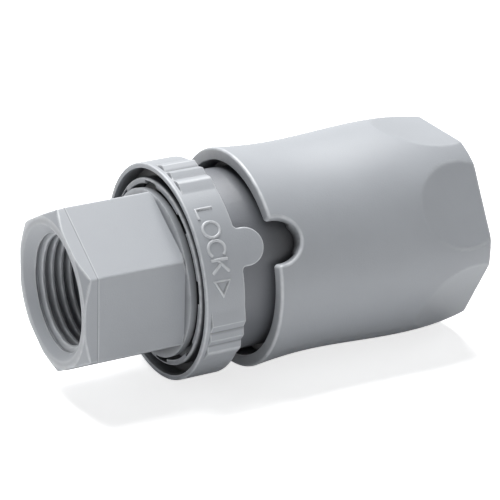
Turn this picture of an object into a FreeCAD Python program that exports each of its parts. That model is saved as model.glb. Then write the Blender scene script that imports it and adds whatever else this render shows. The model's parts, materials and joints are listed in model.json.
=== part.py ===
import FreeCAD, Part
import math
import os

import Sketcher
from FreeCAD import Placement, Rotation, Vector

# Plastic quick disconnect coupling, lying on its side: a plug latched in a socket with a sliding sleeve.
# The axis is X, and +X runs from the plug's thread to the hose side's thread. Z is up.
# The origin is on the axis where the full wall of the plug's thread bore begins.
# Angles round the axis are in degrees, from -Y towards +Z. Lengths are millimetres.
# The threads' ridges are left out: a threaded bore's wall is at its major radius.

SIZES = {
    # how far features that are fused or cut run into each other
    "fuse_overlap": 0.3,
    # plug, outside
    "hex_wall": 1.09,
    "hex_length": 14.4,
    "hex_chamfer_length": 0.9,
    "hex_face_step": 0.05,
    "collar_height": 3.0,
    "collar_length": 3.0,
    "collar_edge": 0.5,
    "shank_step": 0.27,
    "shank_length": 12.9,
    "latch_groove_depth": 0.95,
    "latch_groove_width": 3.1,
    "latch_bead_length": 1.6,
    "nose_step": 1.6,
    "nose_length": 4.5,
    "plug_angle": -3.4,
    # threaded bores at both ends
    "thread_radius": 8.33,
    "thread_entry_depth": 0.98,
    "plug_thread_length": 11.4,
    "tail_thread_length": 8.3,
    # plug, inside
    "nose_wall": 1.0,
    "plug_bore_cone": 1.3,
    "plug_mouth_length": 0.8,
    # shut-off valves, the same poppet head and seat in plug and socket
    "valve_mouth_step": 2.1,
    "valve_seat_length": 1.6,
    "poppet_nose_room": 0.6,
    "poppet_cone_length": 1.8,
    "poppet_rim": 0.6,
    "poppet_lift": 2.5,
    "poppet_lead": 0.4,
    "poppet_pin_radius": 1.6,
    "poppet_pin_gap": 0.1,
    "poppet_stem_radius": 1.5,
    "plug_stem_length": 11.0,
    "socket_stem_length": 5.2,
    "poppet_seal_wire": 0.45,
    "poppet_seal_place": 1.1,
    "poppet_seal_gap": 0.03,
    "seal_room": 0.02,
    "stem_clearance": 0.05,
    "guide_thickness": 1.2,
    "guide_rim": 0.8,
    "guide_leg_width": 1.4,
    "guide_boss_wall": 0.9,
    "guide_legs": 3,
    "guide_fit": 0.05,
    "plug_guide_place": 4.6,
    "plug_guide_boss": 5.0,
    "socket_guide_boss": 3.7,
    "guide_clip_width": 0.8,
    "guide_clip_depth": 0.6,
    "guide_clip_wall": 1.3,
    "guide_lip": 0.6,
    "guide_lip_height": 0.6,
    "plug_valve_wire": 0.7,
    "plug_valve_coil_inset": 1.2,
    "plug_valve_turns": 6,
    "socket_valve_wire": 0.7,
    "socket_valve_coil_inset": 0.9,
    "socket_valve_turns": 3,
    # socket body
    "mouth_gap": 1.1,
    "mouth_flange": 0.41,
    "mouth_edge": 0.15,
    "mouth_length": 1.8,
    "collar_clearance": 0.5,
    "mouth_notch_depth": 0.35,
    "mouth_notch_width": 3.2,
    "mouth_notch_length": 1.5,
    "mouth_notch_angle": 6.0,
    "mouth_notches": 8,
    "mouth_wall": 0.4,
    "rear_wall": 1.35,
    "gland_gap": 0.3,
    "gland_thickness": 0.8,
    "gland_clearance": 0.5,
    "bush_length": 3.0,
    "bush_step": 0.5,
    "bush_clearance": 0.05,
    "ring_fit": 0.05,
    "pocket_end_room": 0.1,
    "bead_clearance": 0.15,
    "bead_end_gap": 0.3,
    "nose_clearance": 0.05,
    "nose_end_gap": 0.3,
    "step_wall": 1.6,
    "valve_bore_length": 0.6,
    "chamber_step": 0.75,
    "chamber_length": 4.1,
    "tail_socket_length": 4.2,
    "nose_seal_wire": 0.87,
    "nose_seal_place": 1.75,
    # latch collet, a ring with sprung claws
    "collet_gap": 0.5,
    "collet_base_length": 2.5,
    "collet_clearance": 0.1,
    "collet_bore_clearance": 0.15,
    "collet_wall": 1.1,
    "finger_drop": 0.2,
    "finger_thickness": 0.6,
    "claw_width": 4.0,
    "claw_end_play": 0.2,
    "claw_clearance": 0.1,
    "claws": 6,
    "window_clearance": 0.3,
    "window_depth": 2.5,
    # tail adapter
    "tail_fit": 0.05,
    "tail_end_gap": 0.1,
    "tail_bore_wall": 2.7,
    "tail_flange_height": 1.6,
    "tail_flange_step": 0.353,
    "tail_flange_length": 2.0,
    "tail_wall": 0.69,
    "tail_hex_length": 7.6,
    "tail_seal_wire": 0.5,
    "tail_seal_place": 1.6,
    # lock ring
    "ring_front_gap": 0.1,
    "ring_wall": 0.71,
    "ring_edge": 0.25,
    "ring_length": 5.75,
    "ring_front_clearance": 1.33,
    "ring_clip_clearance": 0.3,
    "ring_web_length": 1.4,
    "ring_web_gap": 0.6,
    "ring_hub_clearance": 0.1,
    "ring_angle": 28.0,
    "tab_length": 3.65,
    "tab_width": 5.3,
    "tabs": 2,
    "rib_height": 0.45,
    "rib_front": 0.8,
    "rib_first_angle": 39.7,
    "rib_pitch": 8.6,
    "rib_ramp": 6.8,
    "rib_shift": 1.7,
    "ribs_in_group": 3,
    # what stops, holds and keeps the lock ring
    "lock_turn": 40.0,
    "lug_angle": 10.0,
    "lug_height": 0.8,
    "lug_length": 0.9,
    "lug_clearance": 0.3,
    "lug_end_play": 1.0,
    "drag_ring_wire": 0.35,
    "drag_ring_place": 1.0,
    "clip_gap": 0.3,
    "clip_width": 1.0,
    "clip_depth": 0.7,
    "clip_height": 0.6,
    "clip_split": 4.0,
    # sleeve
    "sleeve_angle": 27.3,
    "sleeve_front_gap": 5.2,
    "sleeve_length": 34.0,
    "sleeve_front_wall": 1.73,
    "sleeve_front_slope": 0.13,
    "sleeve_waist_wall": 1.23,
    "sleeve_waist_place": 8.4,
    "sleeve_swell_wall": 2.36,
    "sleeve_swell_place": 25.0,
    "sleeve_rear_wall": 2.3,
    "sleeve_rear_slope": 0.23,
    "sleeve_edge": 0.3,
    "sleeve_front_room": 0.99,
    "sleeve_front_depth": 3.2,
    "sleeve_bevel": 0.3,
    "sleeve_land_clearance": 0.1,
    "sleeve_land_length": 4.5,
    "sleeve_relief_room": 0.85,
    "sleeve_relief_length": 5.75,
    "sleeve_spring_room": 0.3,
    "sleeve_rib_room": 0.9,
    "sleeve_rib_length": 2.4,
    "sleeve_stop_gap": 0.05,
    "sleeve_rear_clearance": 0.1,
    "notch_clearance": 1.2,
    "notch_end_room": 0.4,
    "scallop_place": 35.3,
    "scallop_wall": 1.3,
    "scallop_arc": 39.7,
    "scallops": 6,
    # sleeve spring and its washer
    "sleeve_spring_wire": 1.0,
    "sleeve_spring_turns": 4,
    "washer_thickness": 1.0,
    "washer_clearance": 0.1,
}
CUT_REACH = 20.0  # how far a cutting tool runs past the piece that it cuts

doc = FreeCAD.newDocument("Coupling")
sheet = doc.addObject("Spreadsheet::Sheet", "Sizes")
for row, (alias, number) in enumerate(SIZES.items(), start=1):
    sheet.set(f"A{row}", alias)
    sheet.set(f"B{row}", str(number))
    sheet.setAlias(f"B{row}", alias)
doc.recompute()


class Size:
    """A length or angle with the sheet expression that gives it, so that sums of sizes stay bound."""

    def __init__(self, value, text):
        self.value = value
        self.text = text

    @staticmethod
    def of(other):
        return other if isinstance(other, Size) else Size(float(other), repr(float(other)))

    def combined(self, sign, other, value):
        return Size(value, f"({self.text} {sign} {other.text})")

    def __add__(self, other):
        other = Size.of(other)
        return self.combined("+", other, self.value + other.value)

    def __sub__(self, other):
        other = Size.of(other)
        return self.combined("-", other, self.value - other.value)

    def __mul__(self, other):
        other = Size.of(other)
        return self.combined("*", other, self.value * other.value)

    def __truediv__(self, other):
        other = Size.of(other)
        return self.combined("/", other, self.value / other.value)


def size(alias):
    return Size(float(sheet.get(alias)), f"Sizes.{alias}")


def copies(alias):
    """The angles of the copies of a feature that repeats round the axis."""
    number = int(sheet.get(alias))
    return [360.0 * step / number for step in range(number)]


def bind(thing, **sizes):
    for name, value in sizes.items():
        thing.setExpression(name, Size.of(value).text)


# Turned pieces


def outline_sketch(body, name, points):
    plane = next(f for f in body.Origin.OriginFeatures if f.Role == "XZ_Plane")
    sketch = body.newObject("Sketcher::SketchObject", name)
    sketch.AttachmentSupport = [(plane, "")]
    sketch.MapMode = "FlatFace"
    corners = [Vector(x.value, r.value, 0) for x, r in points]
    for start, end in zip(corners, corners[1:] + corners[:1]):
        sketch.addGeometry(Part.LineSegment(start, end), False)
    for line in range(len(points)):
        after = (line + 1) % len(points)
        sketch.addConstraint(Sketcher.Constraint("Coincident", line, 2, after, 1))
    for line, (x, r) in enumerate(points):
        for kind, place in (("DistanceX", x), ("DistanceY", r)):
            made = sketch.addConstraint(Sketcher.Constraint(kind, -1, 1, line, 1, place.value))
            sketch.setExpression(f"Constraints[{made}]", place.text)
    return sketch


def turned(name, *points):
    """A body turned about the axis from a closed outline of (x, radius) points."""
    body = doc.addObject("PartDesign::Body", name)
    sketch = outline_sketch(body, name + "_outline", [(Size.of(x), Size.of(r)) for x, r in points])
    revolution = body.newObject("PartDesign::Revolution", name + "_revolution")
    revolution.Profile = sketch
    revolution.ReferenceAxis = (sketch, ["H_Axis"])
    revolution.Angle = 360
    return body


def tube(name, start, end, inner, outer):
    return turned(name, (start, inner), (end, inner), (end, outer), (start, outer))


# Pieces of Part primitives


def about_axis(degrees):
    """Turns what faces -Y so that it faces the given angle."""
    return Placement(Vector(), Rotation(Vector(1, 0, 0), -degrees))


def along_axis(start):
    """Stands a primitive that rises along Z on the axis instead."""
    return Placement(Vector(start.value, 0, 0), Rotation(Vector(0, 1, 0), 90))


def rod(name, start, end, radius):
    made = doc.addObject("Part::Cylinder", name)
    bind(made, Radius=radius, Height=end - start)
    made.Placement = along_axis(start)
    return made


def bar(name, start, end, low, high, width, angle=0.0):
    """A bar that faces -Y from radius low to high, turned to an angle."""
    made = doc.addObject("Part::Box", name)
    high = Size.of(high)
    bind(made, Length=end - start, Width=high - low, Height=width)
    corner = Vector(start.value, -high.value, -width.value / 2)
    made.Placement = about_axis(angle) * Placement(corner, Rotation())
    return made


def post(name, x, radius, reach, angle=0.0):
    """A round post from the axis out towards -Y, turned to an angle."""
    made = doc.addObject("Part::Cylinder", name)
    bind(made, Radius=radius, Height=reach)
    lean = Placement(Vector(x.value, 0, 0), Rotation(Vector(1, 0, 0), 90))
    made.Placement = about_axis(angle) * lean
    return made


def sector(name, start, end, radius, high_angle, span):
    """A slice of a cylinder round the axis, from high_angle towards smaller angles."""
    made = doc.addObject("Part::Cylinder", name)
    bind(made, Radius=radius, Height=end - start, Angle=span)
    facing = Rotation(Vector(0, -1, 0), Vector(0, 0, -1), Vector(1, 0, 0), "ZXY")
    made.Placement = about_axis(high_angle) * Placement(Vector(start.value, 0, 0), facing)
    return made


def hexagon(name, start, end, across_flats):
    """A hexagonal bar along the axis with one flat facing -Y."""
    made = doc.addObject("Part::Prism", name)
    made.Polygon = 6
    bind(made, Circumradius=across_flats / math.sqrt(3), Height=end - start)
    made.Placement = along_axis(start)
    return made


def fused(name, *pieces):
    made = doc.addObject("Part::MultiFuse", name)
    made.Shapes = list(pieces)
    return made


def cut(name, base, *tools):
    made = doc.addObject("Part::Cut", name)
    made.Base = base
    made.Tool = tools[0] if len(tools) == 1 else fused(name + "_tools", *tools)
    return made


def common(name, one, other):
    made = doc.addObject("Part::Common", name)
    made.Base = one
    made.Tool = other
    return made


def o_ring(name, x, middle, wire):
    made = doc.addObject("Part::Torus", name)
    bind(made, Radius1=middle, Radius2=wire)
    made.Placement = along_axis(x)
    return made


def spring(name, start, end, coil, wire, turns):
    """An open coil that fills the room from start to end. wire is the wire's diameter."""
    helix = doc.addObject("Part::Helix", name + "_helix")
    height = end - start - wire
    bind(helix, Pitch=height / turns, Height=height, Radius=coil)
    section = doc.addObject("Part::Circle", name + "_wire")
    bind(section, Radius=wire / 2)
    section.Placement = Placement(Vector(coil.value, 0, 0), Rotation(Vector(1, 0, 0), 90))
    made = doc.addObject("Part::Sweep", name)
    made.Sections = [section]
    made.Spine = (helix, ["Edge1"])
    made.Solid = True
    made.Frenet = True
    made.Placement = along_axis(start + wire / 2)
    return made


# Radii, all from the thread's

thread_entry_radius = size("thread_radius") + size("thread_entry_depth")
hex_across_flats = (thread_entry_radius + size("hex_wall")) * 2
hex_face_radius = hex_across_flats / 2 + size("hex_face_step")
tail_across_flats = (thread_entry_radius + size("tail_wall")) * 2
tail_flange_radius = tail_across_flats / math.sqrt(3) + size("tail_flange_step")
rear_tube_radius = tail_flange_radius - size("tail_flange_height")
tail_socket_radius = rear_tube_radius - size("rear_wall")
tail_spigot_radius = tail_socket_radius - size("tail_fit")
tail_bore_radius = tail_spigot_radius - size("tail_bore_wall")
chamber_radius = tail_socket_radius - size("chamber_step")

shank_radius = size("thread_radius") + size("shank_step")
latch_groove_radius = shank_radius - size("latch_groove_depth")
nose_radius = shank_radius - size("nose_step")
nose_bore_radius = nose_radius + size("nose_clearance")
plug_bore_radius = nose_radius - size("nose_wall")
guide_clip_radius = plug_bore_radius + size("guide_clip_depth")
valve_mouth_radius = plug_bore_radius - size("valve_mouth_step")
seat_radius = valve_mouth_radius + size("valve_seat_length")
poppet_nose_radius = valve_mouth_radius - size("poppet_nose_room")
poppet_radius = poppet_nose_radius + size("poppet_cone_length")

collet_bore = shank_radius + size("collet_bore_clearance")
collet_radius = collet_bore + size("collet_wall")
pocket_radius = collet_radius + size("collet_clearance")
bush_seat_radius = pocket_radius + size("bush_step")
collar_radius = shank_radius + size("collar_height")
mouth_bore = collar_radius + size("collar_clearance")
tube_radius = mouth_bore + size("mouth_wall")
mouth_radius = tube_radius + size("mouth_flange")
clip_groove_radius = tube_radius - size("clip_depth")
clip_radius = tube_radius + size("clip_height")

ring_bore = tube_radius + size("ring_hub_clearance")
ring_front_bore = mouth_radius + size("ring_front_clearance")
ring_rear_bore = clip_radius + size("ring_clip_clearance")
ring_radius = ring_front_bore + size("ring_wall")

sleeve_land_radius = tube_radius + size("sleeve_land_clearance")
sleeve_front_bore = sleeve_land_radius + size("sleeve_front_room")
sleeve_relief_radius = sleeve_land_radius + size("sleeve_relief_room")
sleeve_spring_bore = sleeve_land_radius + size("sleeve_spring_room")
sleeve_rear_bore = tail_flange_radius + size("sleeve_rear_clearance")
sleeve_rib_radius = rear_tube_radius + size("sleeve_rib_room")
sleeve_front_radius = sleeve_front_bore + size("sleeve_front_wall")
sleeve_waist_radius = sleeve_relief_radius + size("sleeve_waist_wall")
sleeve_swell_radius = sleeve_spring_bore + size("sleeve_swell_wall")
sleeve_rear_radius = sleeve_rear_bore + size("sleeve_rear_wall")
scallop_bottom = sleeve_rear_bore + size("scallop_wall")
notch_width = size("tab_width") + size("notch_clearance")
notch_depth = size("tab_length") + size("notch_end_room")

# Places along the axis that several pieces share, from the plug's face to the sleeve's rear

face = size("thread_radius") - thread_entry_radius
hex_back = face + size("hex_length")
collar_back = hex_back + size("collar_length")
plug_groove_front = collar_back + size("shank_length")
plug_groove_back = plug_groove_front + size("latch_groove_width")
bead_back = plug_groove_back + size("latch_bead_length")
nose_tip = bead_back + size("nose_length")
plug_guide_front = collar_back + size("plug_guide_place")
plug_guide_back = plug_guide_front + size("guide_thickness")
guide_clip_front = plug_guide_front - size("guide_clip_width")
plug_valve_mouth = nose_tip - size("plug_mouth_length")

mouth = hex_back + size("mouth_gap")
mouth_back = mouth + size("mouth_length")
gland_front = collar_back + size("gland_gap")
gland_back = gland_front + size("gland_thickness")
bush_back = gland_back + size("bush_length")
claw_front = plug_groove_front + size("claw_end_play")
claw_back = plug_groove_back - size("claw_end_play")
window_front = claw_front - size("window_clearance")
window_back = claw_back + size("window_clearance")
pocket_back = window_back + size("pocket_end_room")
nose_bore_front = bead_back + size("bead_end_gap")
nose_bore_back = nose_tip + size("nose_end_gap")
tube_back = nose_bore_front + size("step_wall")
socket_valve_mouth = nose_bore_back + size("valve_bore_length")
socket_seat_back = socket_valve_mouth + size("valve_seat_length")
chamber_back = socket_seat_back + size("chamber_length")
body_back = chamber_back + size("tail_socket_length")

spigot_front = chamber_back + size("tail_end_gap")
flange_front = body_back + size("tail_end_gap")
flange_back = flange_front + size("tail_flange_length")
tail_back = flange_back + size("tail_hex_length")
tail_thread_back = tail_back - thread_entry_radius + size("thread_radius")
tail_thread_front = tail_thread_back - size("tail_thread_length")
socket_guide_back = tail_thread_front - size("guide_lip")
socket_guide_front = socket_guide_back - size("guide_thickness")

ring_front = mouth - size("ring_front_gap")
ring_back = ring_front + size("ring_length")
web_front = mouth_back + size("ring_web_gap")
web_back = web_front + size("ring_web_length")
tab_tip = ring_back + size("tab_length")
lug_back = mouth_back + size("lug_length")
drag_ring_x = web_front + size("drag_ring_place")
clip_front = web_back + size("clip_gap")
clip_back = clip_front + size("clip_width")

sleeve_front = ring_back + size("sleeve_front_gap")
sleeve_back = sleeve_front + size("sleeve_length")
land_front = sleeve_front + size("sleeve_front_depth") + size("sleeve_bevel")
land_back = land_front + size("sleeve_land_length")
relief_front = land_back + size("sleeve_bevel")
relief_back = relief_front + size("sleeve_relief_length")
rib_back = flange_front - size("sleeve_stop_gap")
rib_front = rib_back - size("sleeve_rib_length")
washer_back = rib_front - size("sleeve_stop_gap")
washer_front = washer_back - size("washer_thickness")

def seal_groove(x, wire, surface, bottom, forward):
    """The four corners of an O-ring's groove, in the direction in which the outline runs."""
    half = wire + size("seal_room")
    first, last = (x - half, x + half) if forward else (x + half, x - half)
    return [(first, surface), (first, bottom), (last, bottom), (last, surface)]


nose_seal_x = nose_bore_front + size("nose_seal_place")
nose_seal_middle = nose_bore_radius + size("nose_seal_wire") - size("seal_room")
tail_seal_x = flange_front - size("tail_seal_place")
tail_seal_middle = tail_socket_radius - size("tail_seal_wire") - size("seal_room")
drag_ring_middle = ring_bore - size("drag_ring_wire") - size("seal_room")


def groove_inside(middle, wire):
    return middle - wire - size("seal_room")


def make_plug_body():
    corner_radius = hex_across_flats / math.sqrt(3)
    edge = size("collar_edge")
    blank = turned(
        "plug_turned",
        (face, thread_entry_radius),
        (face, hex_face_radius),
        (face + size("hex_chamfer_length"), corner_radius),
        (hex_back, corner_radius),
        (hex_back, collar_radius - edge),
        (hex_back + edge, collar_radius),
        (collar_back - edge, collar_radius),
        (collar_back, collar_radius - edge),
        (collar_back, shank_radius),
        (plug_groove_front, shank_radius),
        (plug_groove_front, latch_groove_radius),
        (plug_groove_back, latch_groove_radius),
        (plug_groove_back, shank_radius),
        (bead_back, shank_radius),
        (bead_back, nose_radius),
        (nose_tip, nose_radius),
        (nose_tip, valve_mouth_radius),
        (plug_valve_mouth, valve_mouth_radius),
        (plug_valve_mouth - size("valve_seat_length"), seat_radius),
        (plug_valve_mouth - size("valve_seat_length"), plug_bore_radius),
        (plug_guide_front, plug_bore_radius),
        (plug_guide_front, guide_clip_radius),
        (guide_clip_front, guide_clip_radius),
        (guide_clip_front, plug_bore_radius),
        (size("plug_thread_length") + size("plug_bore_cone"), plug_bore_radius),
        (size("plug_thread_length"), size("thread_radius")),
        (0, size("thread_radius")),
    )
    around = rod("plug_hex_around", face, hex_back, corner_radius + CUT_REACH)
    kept = hexagon("plug_hex", face, hex_back, hex_across_flats)
    made = cut("plug_body", blank, cut("plug_hex_waste", around, kept))
    made.Placement = about_axis(size("plug_angle").value)
    return made


def make_poppet(name, pin_tip, cone_start, stem_length, direction):
    """A valve poppet from its pin's tip to its stem's end. direction is 1 with the stem to +X, or -1."""
    cone_end = cone_start + size("poppet_cone_length") * direction
    rim_end = cone_end + size("poppet_rim") * direction
    stem_end = rim_end + stem_length * direction
    seal_x = cone_start + size("poppet_seal_place") * direction
    half = size("poppet_seal_wire") + size("seal_room")
    bottom = groove_inside(poppet_seal_middle(), size("poppet_seal_wire"))
    return turned(
        name,
        (pin_tip, 0),
        (pin_tip, size("poppet_pin_radius")),
        (cone_start, size("poppet_pin_radius")),
        (cone_start, poppet_nose_radius),
        (seal_x - half * direction, poppet_nose_radius + size("poppet_seal_place") - half),
        (seal_x - half * direction, bottom),
        (seal_x + half * direction, bottom),
        (seal_x + half * direction, poppet_nose_radius + size("poppet_seal_place") + half),
        (cone_end, poppet_radius),
        (rim_end, poppet_radius),
        (rim_end, size("poppet_stem_radius")),
        (stem_end, size("poppet_stem_radius")),
        (stem_end, 0),
    )


def poppet_seal_middle():
    """The seal's radius at which it just clears the seat's cone when the valve is shut."""
    seat = valve_mouth_radius - size("poppet_lead") + size("poppet_seal_place")
    return seat - (size("poppet_seal_wire") + size("poppet_seal_gap")) * math.sqrt(2)


plug_cone_start = plug_valve_mouth + size("poppet_lead") - size("poppet_lift")
socket_cone_start = socket_valve_mouth - size("poppet_lead") + size("poppet_lift")
poppet_head_length = size("poppet_cone_length") + size("poppet_rim")


def make_plug_valve_poppet():
    tip = nose_tip - size("poppet_pin_gap") / 2
    return make_poppet("plug_valve_poppet", tip, plug_cone_start, size("plug_stem_length"), -1)


def make_plug_valve_seal():
    x = plug_cone_start - size("poppet_seal_place")
    return o_ring("plug_valve_seal", x, poppet_seal_middle(), size("poppet_seal_wire"))


def make_socket_valve_poppet():
    tip = nose_tip + size("poppet_pin_gap") / 2
    return make_poppet("socket_valve_poppet", tip, socket_cone_start, size("socket_stem_length"), 1)


def make_socket_valve_seal():
    x = socket_cone_start + size("poppet_seal_place")
    return o_ring("socket_valve_seal", x, poppet_seal_middle(), size("poppet_seal_wire"))


def make_guide(name, front, back, boss_front, boss_back, outer):
    """A spider: a rim and a bored boss joined by legs."""
    hole = size("poppet_stem_radius") + size("stem_clearance")
    boss = hole + size("guide_boss_wall")
    rim = outer - size("guide_rim")
    legs = [
        bar(f"{name}_leg_{round(angle)}", front, back, boss - size("fuse_overlap"),
            rim + size("fuse_overlap"), size("guide_leg_width"), angle)
        for angle in copies("guide_legs")
    ]
    return fused(name, tube(name + "_rim", front, back, rim, outer),
                 tube(name + "_boss", boss_front, boss_back, hole, boss), *legs)


def make_plug_valve_guide():
    outer = plug_bore_radius - size("guide_fit")
    boss_back = plug_guide_back + size("plug_guide_boss")
    return make_guide("plug_valve_guide", plug_guide_front, plug_guide_back, plug_guide_front, boss_back,
                      outer)


def make_socket_valve_guide():
    outer = tail_bore_radius - size("guide_fit")
    boss_front = socket_guide_front - size("socket_guide_boss")
    return make_guide("socket_valve_guide", socket_guide_front, socket_guide_back, boss_front,
                      socket_guide_back, outer)


def make_plug_guide_clip():
    fit = size("guide_fit")
    outer = guide_clip_radius - fit
    return tube("plug_guide_clip", guide_clip_front + fit, plug_guide_front - fit,
                outer - size("guide_clip_wall"), outer)


def make_plug_valve_spring():
    coil = poppet_radius - size("plug_valve_coil_inset")
    return spring("plug_valve_spring", plug_guide_back, plug_cone_start - poppet_head_length, coil,
                  size("plug_valve_wire"), size("plug_valve_turns"))


def make_socket_valve_spring():
    coil = poppet_radius - size("socket_valve_coil_inset")
    return spring("socket_valve_spring", socket_cone_start + poppet_head_length, socket_guide_front, coil,
                  size("socket_valve_wire"), size("socket_valve_turns"))


def make_socket_body():
    mouth_edge = size("mouth_edge")
    bead_bore = shank_radius + size("bead_clearance")
    blank = turned(
        "socket_turned",
        (mouth, mouth_bore),
        (mouth, mouth_radius - mouth_edge),
        (mouth + mouth_edge, mouth_radius),
        (mouth_back, mouth_radius),
        (mouth_back, tube_radius),
        *seal_groove(drag_ring_x, size("drag_ring_wire"), tube_radius,
                     groove_inside(drag_ring_middle, size("drag_ring_wire")), True),
        (clip_front, tube_radius),
        (clip_front, clip_groove_radius),
        (clip_back, clip_groove_radius),
        (clip_back, tube_radius),
        (tube_back, tube_radius),
        (tube_back, rear_tube_radius),
        (body_back, rear_tube_radius),
        (body_back, tail_socket_radius),
        (chamber_back, tail_socket_radius),
        (chamber_back, chamber_radius),
        (socket_seat_back, chamber_radius),
        (socket_seat_back, seat_radius),
        (socket_valve_mouth, valve_mouth_radius),
        (nose_bore_back, valve_mouth_radius),
        (nose_bore_back, nose_bore_radius),
        *seal_groove(nose_seal_x, size("nose_seal_wire"), nose_bore_radius,
                     nose_seal_middle + size("nose_seal_wire") + size("seal_room"), False),
        (nose_bore_front, nose_bore_radius),
        (nose_bore_front, bead_bore),
        (pocket_back, bead_bore),
        (pocket_back, pocket_radius),
        (bush_back, pocket_radius),
        (bush_back, bush_seat_radius),
        (gland_back, bush_seat_radius),
        (gland_back, mouth_bore),
    )
    notches = [
        bar(f"mouth_notch_{round(angle)}", mouth - CUT_REACH, mouth + size("mouth_notch_length"),
            mouth_bore - size("fuse_overlap"), mouth_bore + size("mouth_notch_depth"),
            size("mouth_notch_width"), angle + size("mouth_notch_angle").value)
        for angle in copies("mouth_notches")
    ]
    window_width = size("claw_width") + size("window_clearance") * 2
    windows = [
        bar(f"window_{round(angle)}", window_front, window_back,
            pocket_radius - size("window_depth"), tube_radius + CUT_REACH, window_width, angle)
        for angle in copies("claws")
    ]
    opened = cut("socket_opened", blank, *notches, *windows)
    return fused("socket_body", opened, *[lock_lug(angle) for angle in copies("tabs")])


def lock_lug(angle):
    """A stop for the lock ring behind the mouth's flange."""
    overlap = size("fuse_overlap")
    front = mouth_back - overlap
    high_angle = angle + size("lug_angle").value / 2
    outer = sector(f"lug_{round(angle)}_outer", front, lug_back, tube_radius + size("lug_height"),
                   high_angle, size("lug_angle"))
    inner = rod(f"lug_{round(angle)}_inner", front, lug_back, tube_radius - overlap)
    return cut(f"lug_{round(angle)}", outer, inner)


def make_gland_ring():
    return tube("gland_ring", gland_front, gland_back, shank_radius + size("gland_clearance"),
                mouth_bore - size("ring_fit"))


def make_guide_bush():
    return tube("guide_bush", gland_back + size("ring_fit"), bush_back - size("ring_fit"),
                shank_radius + size("bush_clearance"), bush_seat_radius - size("ring_fit"))


def make_latch_collet():
    base_front = bush_back + size("collet_gap")
    base_back = base_front + size("collet_base_length")
    finger_outer = collet_radius - size("finger_drop")
    overlap = size("fuse_overlap")
    pieces = [tube("collet_base", base_front, base_back, collet_bore, collet_radius)]
    for angle in copies("claws"):
        pieces.append(bar(f"finger_{round(angle)}", base_back - overlap, claw_front + overlap,
                          finger_outer - size("finger_thickness"), finger_outer, size("claw_width"), angle))
        pieces.append(bar(f"claw_{round(angle)}", claw_front, claw_back,
                          latch_groove_radius + size("claw_clearance"),
                          tube_radius - size("claw_clearance"), size("claw_width"), angle))
    return fused("latch_collet", *pieces)


def make_nose_seal():
    return o_ring("nose_seal", nose_seal_x, nose_seal_middle, size("nose_seal_wire"))


def make_tail_adapter():
    corner_radius = tail_across_flats / math.sqrt(3)
    blank = turned(
        "tail_turned",
        (spigot_front, tail_bore_radius),
        (spigot_front, tail_spigot_radius),
        *seal_groove(tail_seal_x, size("tail_seal_wire"), tail_spigot_radius,
                     groove_inside(tail_seal_middle, size("tail_seal_wire")), True),
        (flange_front, tail_spigot_radius),
        (flange_front, tail_flange_radius),
        (flange_back, tail_flange_radius),
        (flange_back, corner_radius),
        (tail_back, corner_radius),
        (tail_back, thread_entry_radius),
        (tail_thread_back, size("thread_radius")),
        (tail_thread_front, size("thread_radius")),
        (tail_thread_front, tail_bore_radius - size("guide_lip_height")),
        (socket_guide_back, tail_bore_radius - size("guide_lip_height")),
        (socket_guide_back, tail_bore_radius),
    )
    around = rod("tail_hex_around", flange_back, tail_back, corner_radius + CUT_REACH)
    kept = hexagon("tail_hex", flange_back, tail_back, tail_across_flats)
    return cut("tail_adapter", blank, cut("tail_hex_waste", around, kept))


def make_tail_seal():
    return o_ring("tail_seal", tail_seal_x, tail_seal_middle, size("tail_seal_wire"))


def make_lock_ring():
    overlap = size("fuse_overlap")
    blank = turned(
        "ring_turned",
        (ring_front, ring_front_bore),
        (ring_front, ring_radius - size("ring_edge")),
        (ring_front + size("ring_edge"), ring_radius),
        (ring_back, ring_radius),
        (ring_back, ring_rear_bore),
        (web_back, ring_rear_bore),
        (web_back, ring_bore),
        (web_front, ring_bore),
        (web_front, ring_front_bore),
    )
    lug_low = size("lug_angle") / 2 + size("lug_end_play") + size("ring_angle")
    span = size("lug_angle") + size("lug_end_play") * 2 + size("lock_turn")
    high_angle = span.value - lug_low.value
    recess_radius = tube_radius + size("lug_height") + size("lug_clearance")
    recesses = [
        sector(f"stop_recess_{round(angle)}", web_front - overlap, lug_back + size("lug_clearance"),
               recess_radius, high_angle + angle, span)
        for angle in copies("tabs")
    ]
    recessed = cut("ring_recessed", blank, *recesses)
    made = fused("lock_ring", recessed, make_tabs(ring_rear_bore, ring_radius), *make_ribs())
    made.Placement = about_axis(size("ring_angle").value)
    return made


def make_tabs(inner, outer):
    """The tabs behind the ring, each with a half-round end."""
    skirt = tube("tab_skirt", ring_back - size("fuse_overlap"), tab_tip, inner, outer)
    half = size("tab_width") / 2
    shapes = []
    for angle in copies("tabs"):
        shapes.append(bar(f"tab_bar_{round(angle)}", ring_back - size("fuse_overlap"), tab_tip - half,
                          inner - half, outer + half, size("tab_width"), angle))
        shapes.append(post(f"tab_end_{round(angle)}", tab_tip - half, half, outer + half, angle))
    return common("ring_tabs", skirt, fused("tab_shapes", *shapes))


def make_ribs():
    """Grip ribs side by side in groups, one group on each side of a tab."""
    last = int(sheet.get("ribs_in_group")) - 1
    inner_flank = size("rib_pitch") / 2
    ribs = []
    for tab in copies("tabs"):
        for side in (-1, 1):
            for step in range(last + 1):
                away = size("rib_first_angle").value + size("rib_pitch").value * step
                near_flank = size("rib_ramp") if step == 0 else inner_flank
                far_flank = size("rib_ramp") if step == last else inner_flank
                flanks = (near_flank, far_flank) if side > 0 else (far_flank, near_flank)
                ribs.append(grip_rib(tab + size("rib_shift").value + side * away, *flanks))
    return ribs


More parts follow.
